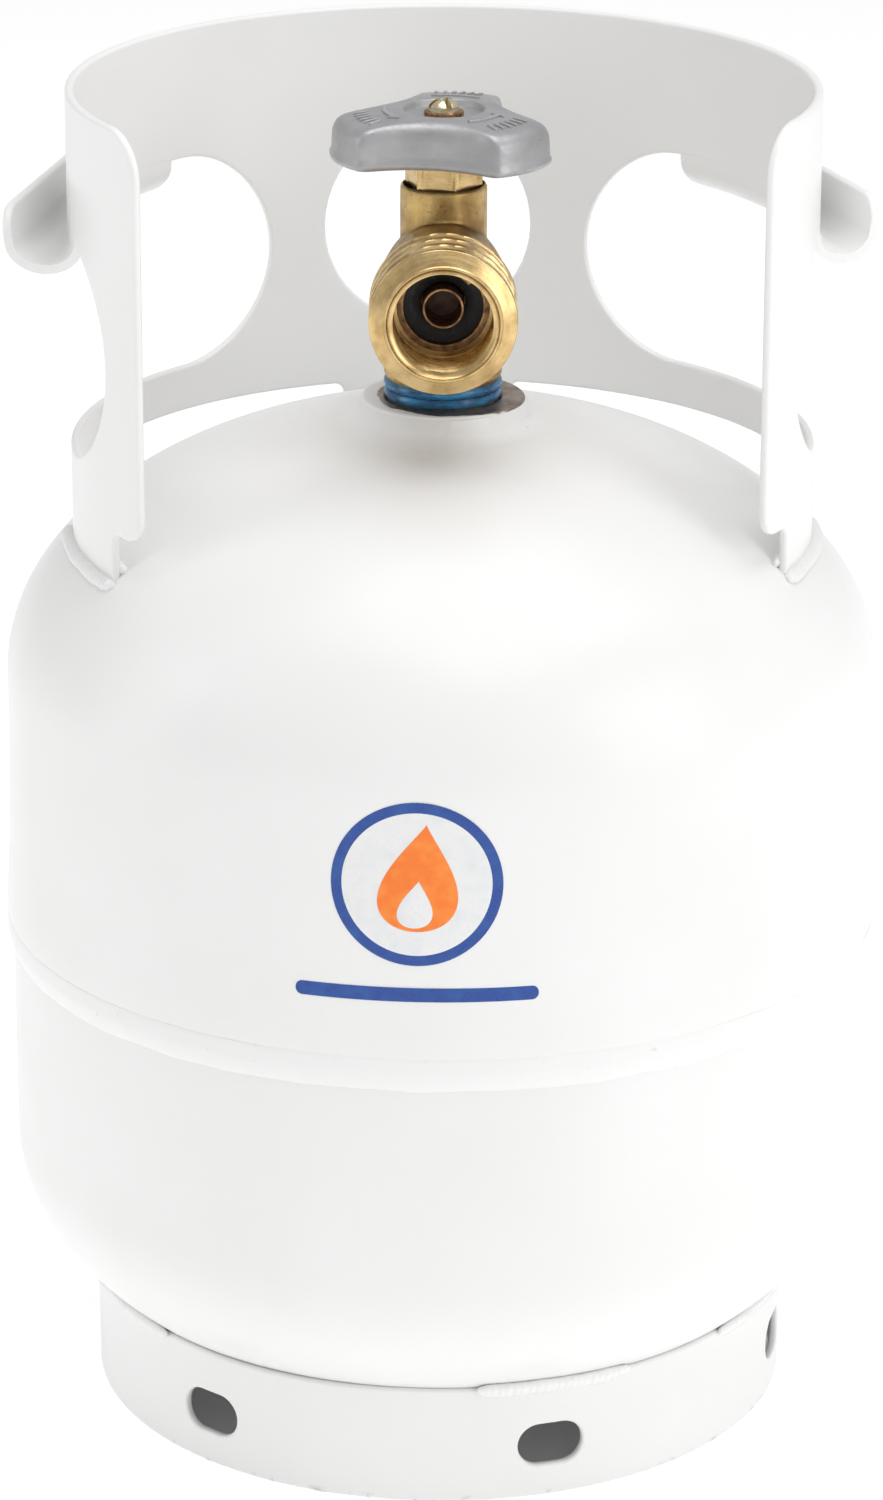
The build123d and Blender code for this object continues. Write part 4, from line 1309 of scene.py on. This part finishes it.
def front_badge():
    """A plain roundel with a drop-shaped flame over a bar, in place of any printed mark."""
    z = badge_z
    piece("badge_disc", [badge_part([ring_points(0, z, 19.0)], 0.05)], INK_BLUE)
    piece("badge_field", [badge_part([ring_points(0, z, 16.6)], 0.10)], INK_WHITE)
    flame = badge_part([drop_points(0, z - 1.5, 17, 25, 2.2)], 0.15)
    piece("badge_flame", [flame], INK_ORANGE)
    core = badge_part([drop_points(-0.5, z - 6.0, 7.5, 11, 1.0)], 0.20)
    piece("badge_flame_core", [core], INK_WHITE)
    corners = [(x * 27.0, 134.2 + y * 1.6, 1.5) for x, y in ((1, 1), (-1, 1), (-1, -1), (1, -1))]
    piece("badge_bar", [badge_part([dense(rounded(corners), 3.0)], 0.05)], INK_BLUE)


# Scene -------------------------------------------------------------------------------------------

CAD_LOOKS = {
    "bonnet_gasket": RUBBER,
    "spindle": STEM_BRASS,
    "stem_seals": RUBBER,
    "lock_washer": BRONZE,
    "handwheel_screw": PALE_BRASS,
    "shut_off_plug": STEM_BRASS,
    "seat_disc": RUBBER,
    "outlet_check_spring": STEEL,
    "relief_disc": RUBBER,
    "relief_poppet": OUTLET_BRASS,
    "relief_adjuster": OUTLET_BRASS,
    "relief_spring": STEEL,
    "vent_screw": STEM_BRASS,
    "dip_tube": STEM_BRASS,
    "opd_housing": ACETAL,
    "float_pin": STEEL,
    "opd_piston": ACETAL,
    "float_arm": STEEL,
    "float_ball": FOAM,
}


def finish_cad_nodes():
    """Give the CAD parts that show as they are their materials."""
    for node, material in CAD_LOOKS.items():
        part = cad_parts[node]
        part.data.materials.clear()
        part.data.materials.append(material)


def stage():
    mesh = bpy.data.meshes.new("floor")
    size = 6.0
    corners = [(-size, -size, 0), (size, -size, 0), (size, size, 0), (-size, size, 0)]
    mesh.from_pydata(corners, [], [(0, 1, 2, 3)])
    floor = bpy.data.objects.new("floor", mesh)
    bpy.context.scene.collection.objects.link(floor)
    s = Shader("pale_floor", (0.86, 0.86, 0.86), 0.9, specular_ior_level=0.2)
    s.set("Emission Color", (1, 1, 1, 1))
    distance = s.node("ShaderNodeVectorMath", operation="LENGTH")
    s.link(s.place, distance.inputs[0])
    s.drive("Emission Strength", s.ramp(distance.outputs["Value"], 78 * MM, 82 * MM, 0.03, 0.42))
    s.bump(s.noise(0.02), 0.02)
    mesh.materials.append(s.material)


def area_light(name, place, target, size, power, colour=(1, 1, 1)):
    data = bpy.data.lights.new(name, "AREA")
    data.shape = "RECTANGLE"
    data.size, data.size_y = size
    data.energy = power
    data.color = colour
    lamp = bpy.data.objects.new(name, data)
    bpy.context.scene.collection.objects.link(lamp)
    lamp.location = place
    lamp.rotation_euler = (Vector(target) - Vector(place)).to_track_quat("-Z", "Y").to_euler()


def lights():
    world = bpy.data.worlds.new("studio")
    bpy.context.scene.world = world
    world.use_nodes = True
    world.node_tree.nodes["Background"].inputs["Color"].default_value = (1, 1, 1, 1)
    world.node_tree.nodes["Background"].inputs["Strength"].default_value = 0.52
    middle = (0, 0, 0.18)
    area_light("top", (0.15, -0.1, 1.5), middle, (1.2, 1.2), 10.5)
    area_light("right", (1.2, -0.8, 0.7), middle, (0.7, 1.2), 6)
    area_light("left", (-1.5, -0.2, 0.6), middle, (0.5, 1.2), 3.5)
    bpy.context.scene.view_settings.view_transform = "Standard"


def camera():
    """The viewpoint: in front, above, and a slight roll."""
    data = bpy.data.cameras.new("camera")
    data.lens = 134.5
    data.sensor_width = 36.0
    data.clip_end = 20
    cam = bpy.data.objects.new("camera", data)
    bpy.context.scene.collection.objects.link(cam)
    pitch, roll = math.radians(19.7), math.radians(0.225)
    cam.matrix_world = (
        Matrix.Translation((0, -1.2431, 0.6000))
        @ Matrix.Rotation(math.pi / 2 - pitch, 4, "X")
        @ Matrix.Rotation(roll, 4, "Z")
    )
    bpy.context.scene.camera = cam


upper_shell()
lower_shell()
girth_weld()
valve_boss()
boss_weld()
guard_collar()
collar_welds()
foot_ring()
foot_ring_welds()
valve_casting()
outlet_nose()
outlet_inside()
thread_sealant()
hex_nut()
handwheel()
wheel_marks()
front_badge()
finish_cad_nodes()
stage()
lights()
camera()
